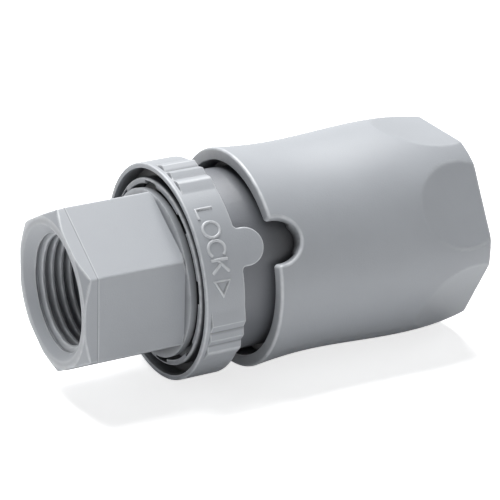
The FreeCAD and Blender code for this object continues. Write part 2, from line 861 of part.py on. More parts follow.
def grip_rib(angle, low_flank, high_flank):
    """A ridge along the axis. Its flanks run down to the ring's surface over two angles."""
    made = doc.addObject("Part::Wedge", f"rib_{round(angle) % 360}")
    height = size("rib_height") + size("fuse_overlap")
    width_of_degree = height / size("rib_height") * ring_radius * math.radians(1)
    length = ring_back - ring_front - size("rib_front")
    bind(made, Xmin=0, X2min=0, Xmax=length, X2max=length, Ymin=0, Ymax=height, Z2min=0, Z2max=0,
         Zmin=width_of_degree * high_flank * -1, Zmax=width_of_degree * low_flank)
    foot = Vector((ring_front + size("rib_front")).value, (size("fuse_overlap") - ring_radius).value, 0)
    made.Placement = about_axis(angle) * Placement(foot, Rotation(Vector(1, 0, 0), 180))
    return made


def make_lock_drag_ring():
    return o_ring("lock_drag_ring", drag_ring_x, drag_ring_middle, size("drag_ring_wire"))


def make_lock_ring_clip():
    ring = tube("clip_ring", clip_front + size("ring_fit"), clip_back - size("ring_fit"),
                clip_groove_radius + size("ring_fit"), clip_radius)
    split = bar("clip_split", clip_front - CUT_REACH, clip_back + CUT_REACH,
                clip_groove_radius - size("clip_split") / 2, tube_radius + CUT_REACH,
                size("clip_split"), 180.0)
    return cut("lock_ring_clip", ring, split)


def sleeve_blank():
    """The sleeve before its notches and scallops. Its outside is one smooth curve through four radii."""
    outside = [
        (sleeve_front, sleeve_front_radius),
        (sleeve_front + size("sleeve_waist_place"), sleeve_waist_radius),
        (sleeve_front + size("sleeve_swell_place"), sleeve_swell_radius),
        (sleeve_back, sleeve_rear_radius),
    ]
    inside = [
        (sleeve_back, sleeve_rear_bore),
        (rib_back, sleeve_rear_bore),
        (rib_back, sleeve_rib_radius),
        (rib_front, sleeve_rib_radius),
        (rib_front, sleeve_spring_bore),
        (relief_back, sleeve_spring_bore),
        (relief_back, sleeve_relief_radius),
        (relief_front, sleeve_relief_radius),
        (land_back, sleeve_land_radius),
        (land_front, sleeve_land_radius),
        (land_front - size("sleeve_bevel"), sleeve_front_bore),
        (sleeve_front, sleeve_front_bore),
    ]
    outer_points = [Vector(x.value, 0, r.value) for x, r in outside]
    curve = Part.BSplineCurve()
    curve.interpolate(Points=outer_points, InitialTangent=Vector(1, 0, -size("sleeve_front_slope").value),
                      FinalTangent=Vector(1, 0, -size("sleeve_rear_slope").value))
    inner_points = [Vector(x.value, 0, r.value) for x, r in inside]
    straight = Part.makePolygon([outer_points[-1], *inner_points, outer_points[0]])
    outline = Part.Face(Part.Wire([curve.toShape(), *straight.Edges]))
    solid = outline.revolve(Vector(), Vector(1, 0, 0), 360)
    rims = [edge for edge in solid.Edges if is_rim(edge, outside[0]) or is_rim(edge, outside[-1])]
    made = doc.addObject("Part::Feature", "sleeve_turned")
    made.Shape = solid.makeFillet(size("sleeve_edge").value, rims)
    return made


def is_rim(edge, corner):
    """Is this edge the circle that a corner of the outline makes?"""
    x, radius = corner
    on_curve = isinstance(edge.Curve, Part.Circle) and abs(edge.Curve.Radius - radius.value) < 1e-6
    return on_curve and abs(edge.Curve.Center.x - x.value) < 1e-6


def make_sleeve():
    half = notch_width / 2
    notch_end = sleeve_front + notch_depth - half
    reach = sleeve_front_radius + half
    tools = []
    for angle in copies("tabs"):
        tools.append(bar(f"notch_bar_{round(angle)}", sleeve_front - CUT_REACH, notch_end,
                         tube_radius - half, reach, notch_width, angle))
        tools.append(post(f"notch_end_{round(angle)}", notch_end, half, reach, angle))
    tools += [scallop(angle) for angle in copies("scallops")]
    made = cut("sleeve", sleeve_blank(), *tools)
    made.Placement = about_axis(size("sleeve_angle").value)
    return made


def scallop(angle):
    """A wide round cutter that lies across the sleeve and leaves a dished grip flat."""
    made = doc.addObject("Part::Cylinder", f"scallop_{round(angle)}")
    bind(made, Radius=size("scallop_arc"), Height=sleeve_swell_radius * 2)
    middle = scallop_bottom + size("scallop_arc")
    x = sleeve_front + size("scallop_place")
    corner = Vector(x.value, -middle.value, -sleeve_swell_radius.value)
    made.Placement = about_axis(angle) * Placement(corner, Rotation())
    return made


def make_sleeve_spring():
    return spring("sleeve_spring", tube_back, washer_front, (rear_tube_radius + sleeve_spring_bore) / 2,
                  size("sleeve_spring_wire"), size("sleeve_spring_turns"))


def make_thrust_washer():
    clearance = size("washer_clearance")
    return tube("thrust_washer", washer_front, washer_back, rear_tube_radius + clearance,
                sleeve_spring_bore - clearance)


def check_document():
    """Stops the run if an object failed without raising."""
    for thing in doc.Objects:
        if {"Invalid", "Error"} & set(thing.State):
            raise RuntimeError(f"{thing.Name} failed: {thing.State}")


def export(parts):
    os.makedirs("parts", exist_ok=True)
    for part in parts:
        if part.Shape.isNull() or not part.Shape.isValid():
            raise RuntimeError(f"{part.Name} has no valid shape")
    for part in parts:
        part.Label = part.Name
        part.Shape.exportStep(f"parts/{part.Label}.step")


parts = [
    make_plug_body(),
    make_plug_valve_poppet(),
    make_plug_valve_seal(),
    make_plug_valve_spring(),
    make_plug_valve_guide(),
    make_plug_guide_clip(),
    make_socket_body(),
    make_gland_ring(),
    make_guide_bush(),
    make_latch_collet(),
    make_nose_seal(),
    make_socket_valve_poppet(),
    make_socket_valve_seal(),
    make_socket_valve_spring(),
    make_socket_valve_guide(),
    make_tail_adapter(),
    make_tail_seal(),
    make_lock_ring(),
    make_lock_drag_ring(),
    make_lock_ring_clip(),
    make_sleeve(),
    make_sleeve_spring(),
    make_thrust_washer(),
]
doc.recompute()
check_document()
export(parts)
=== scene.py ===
"""Looks of a plastic quick disconnect coupling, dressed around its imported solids.

Lengths in the classes are millimetres and angles are degrees. X runs along the coupling's axis from the
plug's thread to the hose side. Angles go round the axis from -Y towards +Z.
"""

import json
import logging
import math
from collections.abc import Callable, Iterable, Sequence
from dataclasses import dataclass, field
from enum import Enum

import bmesh
import bpy
from mathutils import Matrix, Vector


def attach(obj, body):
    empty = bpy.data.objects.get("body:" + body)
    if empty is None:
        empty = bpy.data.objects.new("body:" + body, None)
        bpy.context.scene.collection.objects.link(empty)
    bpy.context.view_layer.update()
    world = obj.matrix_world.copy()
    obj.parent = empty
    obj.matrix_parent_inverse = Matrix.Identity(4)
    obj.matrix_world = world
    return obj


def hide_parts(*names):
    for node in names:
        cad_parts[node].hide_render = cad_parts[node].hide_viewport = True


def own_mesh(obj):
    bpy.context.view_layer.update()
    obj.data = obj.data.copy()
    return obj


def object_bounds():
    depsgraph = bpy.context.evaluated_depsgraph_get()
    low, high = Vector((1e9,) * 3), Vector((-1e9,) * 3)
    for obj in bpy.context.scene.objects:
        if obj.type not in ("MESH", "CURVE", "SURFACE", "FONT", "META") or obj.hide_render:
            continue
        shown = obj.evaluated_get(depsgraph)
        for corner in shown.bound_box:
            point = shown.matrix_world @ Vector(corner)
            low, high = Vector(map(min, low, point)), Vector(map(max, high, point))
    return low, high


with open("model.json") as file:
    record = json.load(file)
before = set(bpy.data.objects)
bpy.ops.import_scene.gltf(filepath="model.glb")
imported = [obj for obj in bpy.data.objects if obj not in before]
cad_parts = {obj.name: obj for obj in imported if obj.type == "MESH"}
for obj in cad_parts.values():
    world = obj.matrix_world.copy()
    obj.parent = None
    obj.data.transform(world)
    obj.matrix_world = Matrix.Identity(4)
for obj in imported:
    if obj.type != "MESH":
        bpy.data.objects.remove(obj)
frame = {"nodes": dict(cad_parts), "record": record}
CAD_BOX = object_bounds()
MM = 0.001
# points' outward turn, which sets the edges' wear and painted highlight
EDGE_ATTRIBUTE = "edge"
# points' strength of painted shade, which darkens gaps, grooves and inward creases
GAP_SHADE_ATTRIBUTE = "gap"
HOLD = 0.3  # how near a corner an extra row keeps its shading
RIM_HOLD = 0.06  # how near a rolled plate's rounded rim an extra row keeps its shading
LONG_FACE = 0.45  # a plate's faces longer than this get the rows and columns by which it is rolled up
ARC_STEP = 0.2  # how long one segment of a rounded corner may be
MERGE = 0.0005  # points nearer than this become one
SEAM_MERGE = 0.0008  # the same where a rolled plate's two ends meet
CUT_SNAP = 1e-5  # how near a cutting plane takes a point as lying on it
SAME = 1e-3  # a difference smaller than this counts as none
LEAST_SEGMENTS = 4  # how many segments a rounded corner gets at least
LONG_RUN = 3.0 * HOLD  # an outline's runs longer than this get extra points near their ends
SHARP_ANGLE = 38.0  # edges that turn more than this stay sharp
FLATNESS = 70  # how strongly large faces keep their own direction
EDGE_TURN = (6.0, 22.0)  # outward turns from no edge lift to full wear and painted highlight
CREASE_TURN = (8.0, 30.0)  # inward turns from no painted shade to full painted shade
CREASE_SHADE = 0.5  # how dark the painted shade in an inward crease gets, as a share of a deep gap's
# colour of the edges' wear and painted highlight
HIGHLIGHT_AND_WEAR_COLOUR = (0.80, 0.82, 0.84, 1.0)
# colour of the painted shade in gaps, grooves and creases
GAP_SHADE_COLOUR = (0.012, 0.012, 0.014, 1.0)
GLOSS_SPREAD = (-0.05, 0.07)  # how far the clouds of tone move the roughness
MIX_FACTOR, MIX_FIRST, MIX_SECOND, MIX_RESULT = 0, 6, 7, 2  # a colour mix's sockets by number
log = logging.getLogger("coupling")

RadiusAt = Callable[[float, float], float]
GapAt = Callable[[float, float], float]


class Slot(Enum):
    """Names of the record's material slots for the new pieces; nothing in the script uses them."""

    SHELL = "shell_plastic"
    SPRING = "spring_steel"


# Shaping helpers


@dataclass(frozen=True)
class Corner:
    """A corner of a turned outline: its place along the axis, its radius and its rounding."""

    x: float
    r: float
    rounding: float = 0.0


@dataclass(frozen=True)
class PlateCorner:
    """A corner of a plate that is rolled up: its place along the axis, its angle and its rounding."""

    x: float
    angle: float
    rounding: float = 0.0


def angle_of(point: Vector) -> float:
    """Angle of a point round the axis, in degrees."""
    return math.degrees(math.atan2(point.z, -point.y))


def radius_of(point: Vector) -> float:
    """Distance of a point from the axis."""
    return math.hypot(point.y, point.z)


def placed(x: float, radius: float, angle: float) -> Vector:
    """The point at a place along the axis, a radius and an angle."""
    turn = math.radians(angle)
    return Vector((x, -radius * math.cos(turn), radius * math.sin(turn)))


def angle_between(angle: float, other: float) -> float:
    """Signed angle from other to angle, from -180 to 180 degrees."""
    return (angle - other + 180.0) % 360.0 - 180.0


def smooth_step(value: float, low: float, high: float) -> float:
    """0 below low, 1 above high and a smooth rise between."""
    share = min(max((value - low) / (high - low), 0.0), 1.0)
    return share * share * (3.0 - 2.0 * share)


def soft_min(one: float, other: float, blend: float) -> float:
    """The lower of two lengths, rounded over a blend length where they cross."""
    share = max(blend - abs(one - other), 0.0) / blend
    return min(one, other) - share * share * blend / 4.0


def everything(shape: bmesh.types.BMesh) -> list:
    """All vertices, edges and faces of a mesh in the making."""
    return shape.verts[:] + shape.edges[:] + shape.faces[:]


def long_parts(shape: bmesh.types.BMesh, way: int) -> list:
    """The faces that run on for a while along one way, with their edges and points.

    Args:
        shape: The mesh in the making, in millimetres.
        way: The direction along which a face has to run on.

    Returns:
        The faces, edges and points.
    """
    faces = []
    for face in shape.faces:
        reach = [point.co[way] for point in face.verts]
        if max(reach) - min(reach) > LONG_FACE:
            faces.append(face)
    edges = {edge for face in faces for edge in face.edges}
    points = {point for edge in edges for point in edge.verts}
    return [*points, *edges, *faces]


def round_off(shape: bmesh.types.BMesh, vertex: bmesh.types.BMVert, rounding: float) -> None:
    """Rounds one corner of a flat outline.

    Args:
        shape: The flat outline.
        vertex: The corner.
        rounding: Its rounding in millimetres.
    """
    segments = max(LEAST_SEGMENTS, math.ceil(rounding / ARC_STEP))
    bmesh.ops.bevel(shape, geom=[vertex], offset=rounding, offset_type="OFFSET", segments=segments,
                    profile=0.5, affect="VERTICES", clamp_overlap=True, material=-1)


def hold_corners(shape: bmesh.types.BMesh) -> None:
    """Adds a point near both ends of every long run of an outline, so that shading stays at the corners.

    Args:
        shape: The flat outline.
    """
    for edge in shape.edges[:]:
        length = edge.calc_length()
        if length > LONG_RUN:
            start, end = edge.verts
            far = bmesh.utils.edge_split(edge, start, HOLD / length)[0]
            bmesh.utils.edge_split(edge if end in edge.verts else far, end, HOLD / (length - HOLD))


def turned_shape(
    corners: Sequence[Corner],
    columns: int,
    fine_runs: Sequence[tuple[float, float, float, float, float]] = (),
) -> bmesh.types.BMesh:
    """Spins a closed outline about the axis.

    Args:
        corners: The outline's corners in order.
        columns: How many steps the spin takes.
        fine_runs: Boxes (x low, x high, r low, r high, spacing) in which the outline's runs are divided.

    Returns:
        A closed shape with its normals outwards.
    """
    shape = bmesh.new()
    points = [shape.verts.new((corner.x, -corner.r, 0.0)) for corner in corners]
    shape.faces.new(points)
    for point, corner in zip(points, corners):
        if corner.rounding:
            round_off(shape, point, corner.rounding)
    bmesh.ops.delete(shape, geom=shape.faces[:], context="FACES_ONLY")
    hold_corners(shape)
    for x_low, x_high, r_low, r_high, spacing in fine_runs:
        for edge in shape.edges[:]:
            middle = (edge.verts[0].co + edge.verts[1].co) / 2
            cuts = math.ceil(edge.calc_length() / spacing) - 1
            if x_low <= middle.x <= x_high and r_low <= -middle.y <= r_high and cuts > 0:
                bmesh.ops.subdivide_edges(shape, edges=[edge], cuts=cuts)
    bmesh.ops.spin(shape, geom=shape.verts[:] + shape.edges[:], cent=(0, 0, 0), axis=(1, 0, 0),
                   dvec=(0, 0, 0), angle=math.tau, steps=columns, use_merge=True)
    bmesh.ops.remove_doubles(shape, verts=shape.verts[:], dist=MERGE)
    bmesh.ops.recalc_face_normals(shape, faces=shape.faces[:])
    return shape


def divide_at_angles(shape: bmesh.types.BMesh, angles: Iterable[float]) -> None:
    """Adds columns to a turned shape where planes through the axis cut it, on its round surface.

    Args:
        shape: The mesh in the making, in millimetres.
        angles: Angles of the planes, in degrees.
    """
    for angle in angles:
        turn = math.radians(angle)
        cut = bmesh.ops.bisect_plane(shape, geom=everything(shape), dist=CUT_SNAP, plane_co=(0, 0, 0),
                                     plane_no=(0.0, math.sin(turn), math.cos(turn)))["geom_cut"]
        for point in cut:
            if isinstance(point, bmesh.types.BMVert):
                keep_round(point)


def keep_round(point: bmesh.types.BMVert) -> None:
    """Moves a point that was cut into a chord out to its neighbours' radius.

    Args:
        point: A point between two others on a circle about the axis.
    """
    own = angle_of(point.co)
    sides = [edge.other_vert(point).co for edge in point.link_edges]
    sides = [side for side in sides if abs(angle_between(angle_of(side), own)) > SAME]
    if sides:
        radius = sum(radius_of(side) for side in sides) / len(sides)
        point.co = placed(point.co.x, radius, own)


def divide_at_places(shape: bmesh.types.BMesh, places: Iterable[float]) -> None:
    """Adds rows to a shape where planes across the axis cut it.

    Args:
        shape: The mesh in the making, in millimetres.
        places: Where the planes cross the axis, in millimetres.
    """
    for x in places:
        bmesh.ops.bisect_plane(shape, geom=everything(shape), dist=CUT_SNAP, plane_co=(x, 0, 0),
                               plane_no=(1.0, 0.0, 0.0))


def reshape(shape: bmesh.types.BMesh, radius_at: Callable[[float, float, float], float]) -> None:
    """Moves every point in or out to the radius that a rule gives, and merges the points that meet.

    Args:
        shape: The mesh in the making.
        radius_at: The new radius for an x, a radius and an angle.
    """
    for point in shape.verts:
        x, radius, angle = point.co.x, radius_of(point.co), angle_of(point.co)
        point.co = placed(x, radius_at(x, radius, angle), angle)
    bmesh.ops.remove_doubles(shape, verts=shape.verts[:], dist=MERGE)
    bmesh.ops.recalc_face_normals(shape, faces=shape.faces[:])


@dataclass
class RolledPlate:
    """A plate laid out flat, rounded along its edges, and rolled up into a ring round the axis."""

    corners: Sequence[PlateCorner]
    seam_angle: float
    radius: float
    outer_rounding: float
    inner_rounding: float
    thickness: float = 4.0
    corner_merge: float = 0.02
    rim_segments: int = 4
    side_points: int = 8

    def flat(self, corner: PlateCorner) -> tuple[float, float, float]:
        """Where a corner lies on the flat plate."""
        return corner.x, self.arc(corner.angle), 0.0

    def arc(self, angle: float) -> float:
        """Distance from the seam to an angle, along the reference radius."""
        return math.radians(angle - self.seam_angle) * self.radius

    @property
    def length(self) -> float:
        """The flat plate's length once round."""
        return math.tau * self.radius

    def at_one_end(self, part: bmesh.types.BMEdge | bmesh.types.BMFace) -> bool:
        """Does this flat edge or face lie in one of the two ends that meet at the seam?"""
        return any(all(abs(point.co.y - end) < SAME for point in part.verts) for end in (0.0, self.length))

    def round_edges(self, shape: bmesh.types.BMesh, height: float, rounding: float) -> None:
        """Rounds the plate's outline at one height, but not along the seam.

        Args:
            shape: The flat plate.
            height: The height of the edges to round.
            rounding: Their rounding in millimetres.
        """
        edges = [
            edge for edge in shape.edges
            if all(abs(vertex.co.z - height) < CUT_SNAP for vertex in edge.verts)
            and not self.at_one_end(edge)
        ]
        bmesh.ops.bevel(shape, geom=edges, offset=rounding, offset_type="OFFSET",
                        segments=self.rim_segments, profile=0.5, affect="EDGES", clamp_overlap=True,
                        material=-1)

    def shape(
        self,
        outer: RadiusAt,
        inner: RadiusAt,
        angles: Iterable[float],
        places: Iterable[float],
    ) -> bmesh.types.BMesh:
        """Makes the plate and rolls it up.

        Args:
            outer: The outside radius at an x and an angle.
            inner: The inside radius at an x and an angle.
            angles: Where the plate is divided round the axis.
            places: Where it is divided along the axis.

        Returns:
            A closed ring with its normals outwards.
        """
        shape = bmesh.new()
        points = [shape.verts.new(self.flat(corner)) for corner in self.corners]
        shape.faces.new(points)
        for point, corner in zip(points, self.corners):
            if corner.rounding:
                round_off(shape, point, corner.rounding)
        bmesh.ops.remove_doubles(shape, verts=shape.verts[:], dist=self.corner_merge)
        raised = bmesh.ops.extrude_face_region(shape, geom=shape.faces[:], use_keep_orig=True)["geom"]
        moved = [part for part in raised if isinstance(part, bmesh.types.BMVert)]
        bmesh.ops.translate(shape, verts=moved, vec=(0.0, 0.0, -self.thickness))
        self.round_edges(shape, 0.0, self.outer_rounding)
        self.round_edges(shape, -self.thickness, self.inner_rounding)
        sides = [face for face in shape.faces if len(face.verts) > self.side_points]
        bmesh.ops.inset_individual(shape, faces=sides, thickness=RIM_HOLD, use_even_offset=True)
        ends = [face for face in shape.faces if self.at_one_end(face)]
        bmesh.ops.delete(shape, geom=ends, context="FACES")
        for angle in angles:
            bmesh.ops.bisect_plane(shape, geom=long_parts(shape, 1), dist=CUT_SNAP,
                                   plane_co=(0.0, self.arc(angle), 0.0), plane_no=(0.0, 1.0, 0.0))
        for x in places:
            bmesh.ops.bisect_plane(shape, geom=long_parts(shape, 0), dist=CUT_SNAP, plane_co=(x, 0, 0),
                                   plane_no=(1.0, 0.0, 0.0))
        for vertex in shape.verts:
            x, arc, height = vertex.co
            angle = self.seam_angle + math.degrees(arc / self.radius)
            if height > -self.thickness / 2:
                radius = outer(x, angle) + height
            else:
                radius = inner(x, angle) + height + self.thickness
            vertex.co = placed(x, radius, angle)
        bmesh.ops.remove_doubles(shape, verts=shape.verts[:], dist=SEAM_MERGE)
        bmesh.ops.recalc_face_normals(shape, faces=shape.faces[:])
        return shape


def mark_edges(shape: bmesh.types.BMesh) -> None:
    """Stores on every point how sharply the surface turns outwards there, from 0 to 1.

    Args:
        shape: The mesh in the making.
    """
    layer = shape.verts.layers.float.new(EDGE_ATTRIBUTE)
    for vertex in shape.verts:
        turn = 0.0
        for edge in vertex.link_edges:
            if len(edge.link_faces) == 2:
                turn = max(turn, math.degrees(edge.calc_face_angle_signed(0.0)))
        low, high = EDGE_TURN
        vertex[layer] = min(max(turn - low, 0.0) / (high - low), 1.0)


def mark_gaps(shape: bmesh.types.BMesh, gap_at: GapAt) -> None:
    """Stores on every point how much painted shade it gets, from 0 to 1: as deep as it lies in a gap, and a
    lighter painted shade in inward creases.

    Args:
        shape: The mesh in the making, in millimetres.
        gap_at: The depth for an x and a radius.
    """
    layer = shape.verts.layers.float.new(GAP_SHADE_ATTRIBUTE)
    for vertex in shape.verts:
        turn = 0.0
        for edge in vertex.link_edges:
            if len(edge.link_faces) == 2:
                turn = max(turn, -math.degrees(edge.calc_face_angle_signed(0.0)))
        crease = CREASE_SHADE * smooth_step(turn, *CREASE_TURN)
        vertex[layer] = max(gap_at(vertex.co.x, radius_of(vertex.co)), crease)


def open_everywhere(x: float, radius: float) -> float:
    """The gap rule of a piece without gaps: no painted shade anywhere."""
    return 0.0


def finished_piece(
    shape: bmesh.types.BMesh,
    name: str,
    node: str,
    material: bpy.types.Material,
    gap_at: GapAt = open_everywhere,
) -> bpy.types.Object:
    """Turns a shape in millimetres into a dressed piece that stands for a CAD node.

    Args:
        shape: The mesh in the making, which is used up.
        name: The piece's name.
        node: The CAD node that it replaces, whose body it rides on.
        material: The finish.
        gap_at: How deep in a gap an x and a radius lie, which sets the painted shade.

    Returns:
        The new object, with its place in its mesh.
    """
    mark_edges(shape)
    mark_gaps(shape, gap_at)
    bmesh.ops.scale(shape, vec=(MM, MM, MM), verts=shape.verts[:])
    mesh = bpy.data.meshes.new(name)
    shape.to_mesh(mesh)
    shape.free()
    mesh.materials.append(material)
    mesh.shade_smooth()
    mesh.set_sharp_from_angle(angle=math.radians(SHARP_ANGLE))
    piece = bpy.data.objects.new(name, mesh)
    normals = piece.modifiers.new("flat_faces", "WEIGHTED_NORMAL")
    normals.keep_sharp = True
    normals.weight = FLATNESS
    bpy.context.scene.collection.objects.link(piece)
    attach(piece, body_of(node))
    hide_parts(node)
    log.info("%s stands for %s with %d faces", name, node, len(mesh.polygons))
    return piece


def body_of(node: str) -> str:
    """The body that carries a CAD node."""
    bodies = frame["record"]["behaviour"]["bodies"]
    return next(body for body, nodes in bodies.items() if node in nodes)


# Finishes


@dataclass(frozen=True)
class Finish:
    """A finish: its colours, its gloss, its surface detail, its lightened edges (wear and painted highlight)
    and its painted shade in gaps.
    """

    name: str
    colour: tuple[float, float, float]
    roughness: float
    mottle: float
    grain_size: float
    grain_depth: float
    # lightening of outward edges: wear and painted highlight
    edge_lift: float = 0.0
    # darkening in gaps, grooves and creases: painted shade
    painted_gap_shade: float = 0.0
    metallic: float = 0.0
    drawn: bool = False


SHELL_PLASTIC = Finish("satin grey plastic", (0.285, 0.300, 0.322), 0.42, 0.07, 0.00022, 0.00002,
                       edge_lift=0.30, painted_gap_shade=0.9)
# The socket's tube lies recessed between lock ring and sleeve; this copy of the shell plastic is darker as
# painted shade.
SHADED_SHELL_PLASTIC = Finish("shell plastic darkened as painted shade", (0.185, 0.196, 0.216), 0.42, 0.07, 0.00022, 0.00002,
                      edge_lift=0.38, painted_gap_shade=0.9)
INNER_PLASTIC = Finish("natural white plastic", (0.62, 0.61, 0.57), 0.38, 0.04, 0.0003, 0.00001)
SEAL_RUBBER = Finish("black seal rubber", (0.018, 0.018, 0.019), 0.5, 0.12, 0.0002, 0.00001)
SPRING_STEEL = Finish("drawn spring steel", (0.56, 0.56, 0.57), 0.28, 0.08, 0.00008, 0.000004,
                      metallic=1.0, drawn=True)


class NodeGroups:
    """The shader effects that the finishes share, each built once."""

    fine_detail = 3.0
    cloud_detail = 4.0
    cloud_scale = 120.0
    break_detail = 2.0
    break_scale = 900.0
    break_low = 0.3
    break_high = 0.6
    least_edge_lift = 0.55
    line_detail = 2.0
    line_stretch = (1.0, 0.12, 0.12)

    def __init__(self) -> None:
        """Builds the groups."""
        self.grain = self.moulded_grain()
        self.edge_wear_and_highlight = self.worn_and_highlit_edges()
        self.wire = self.drawn_lines()

    @staticmethod
    def new_group(name: str, inputs: dict[str, str], outputs: dict[str, str]) -> bpy.types.NodeTree:
        """An empty group with named sockets.

        Args:
            name: The group's name.
            inputs: Socket types by input name.
            outputs: Socket types by output name.

        Returns:
            The group, with its input and output nodes named In and Out.
        """
        group = bpy.data.node_groups.new(name, "ShaderNodeTree")
        for socket, kind in inputs.items():
            group.interface.new_socket(socket, in_out="INPUT", socket_type=kind)
        for socket, kind in outputs.items():
            group.interface.new_socket(socket, in_out="OUTPUT", socket_type=kind)
        group.nodes.new("NodeGroupInput").name = "In"
        group.nodes.new("NodeGroupOutput").name = "Out"
        return group

    @staticmethod
    def noise(group: bpy.types.NodeTree, detail: float) -> bpy.types.Node:
        """A noise texture inside a group.

        Args:
            group: The group that gets the node.
            detail: The noise's detail.

        Returns:
            The noise node.
        """
        node = group.nodes.new("ShaderNodeTexNoise")
        node.inputs["Detail"].default_value = detail
        return node

    def moulded_grain(self) -> bpy.types.NodeTree:
        """Fine moulded grain as a height, and slow clouds of tone as a value from 0 to 1.

        Returns:
            The group.
        """
        group = self.new_group(
            "moulded grain",
            {"Place": "NodeSocketVector", "Grain Scale": "NodeSocketFloat"},
            {"Height": "NodeSocketFloat", "Clouds": "NodeSocketFloat"},
        )
        start, end = group.nodes["In"], group.nodes["Out"]
        fine = self.noise(group, self.fine_detail)
        group.links.new(start.outputs["Place"], fine.inputs["Vector"])
        group.links.new(start.outputs["Grain Scale"], fine.inputs["Scale"])
        slow = self.noise(group, self.cloud_detail)
        slow.inputs["Scale"].default_value = self.cloud_scale
        group.links.new(start.outputs["Place"], slow.inputs["Vector"])
        group.links.new(fine.outputs["Fac"], end.inputs["Height"])
        group.links.new(slow.outputs["Fac"], end.inputs["Clouds"])
        return group

    def worn_and_highlit_edges(self) -> bpy.types.NodeTree:
        """A mask of the outward edges for their wear and painted highlight, broken up a little as handling
        leaves them.

        Returns:
            The group.
        """
        group = self.new_group(
            "edge wear and highlight",
            {"Place": "NodeSocketVector", "Edge": "NodeSocketFloat", "Amount": "NodeSocketFloat"},
            {"Mask": "NodeSocketFloat"},
        )
        start, end = group.nodes["In"], group.nodes["Out"]
        breaks = self.noise(group, self.break_detail)
        breaks.inputs["Scale"].default_value = self.break_scale
        group.links.new(start.outputs["Place"], breaks.inputs["Vector"])
        spread = group.nodes.new("ShaderNodeMapRange")
        spread.inputs["From Min"].default_value = self.break_low
        spread.inputs["From Max"].default_value = self.break_high
        spread.inputs["To Min"].default_value = self.least_edge_lift
        group.links.new(breaks.outputs["Fac"], spread.inputs["Value"])
        broken = group.nodes.new("ShaderNodeMath")
        broken.operation = "MULTIPLY"
        group.links.new(start.outputs["Edge"], broken.inputs[0])
        group.links.new(spread.outputs["Result"], broken.inputs[1])
        scaled = group.nodes.new("ShaderNodeMath")
        scaled.operation = "MULTIPLY"
        group.links.new(broken.outputs["Value"], scaled.inputs[0])
        group.links.new(start.outputs["Amount"], scaled.inputs[1])
        group.links.new(scaled.outputs["Value"], end.inputs["Mask"])
        return group

    def drawn_lines(self) -> bpy.types.NodeTree:
        """Fine lines as a height, stretched along the coupling's axis.

        Returns:
            The group.
        """
        group = self.new_group(
            "drawn lines",
            {"Place": "NodeSocketVector", "Line Scale": "NodeSocketFloat"},
            {"Height": "NodeSocketFloat"},
        )
        start, end = group.nodes["In"], group.nodes["Out"]
        stretched = group.nodes.new("ShaderNodeVectorMath")
        stretched.operation = "MULTIPLY"
        stretched.inputs[1].default_value = self.line_stretch
        group.links.new(start.outputs["Place"], stretched.inputs[0])
        lines = self.noise(group, self.line_detail)
        group.links.new(stretched.outputs["Vector"], lines.inputs["Vector"])
        group.links.new(start.outputs["Line Scale"], lines.inputs["Scale"])
        group.links.new(lines.outputs["Fac"], end.inputs["Height"])
        return group


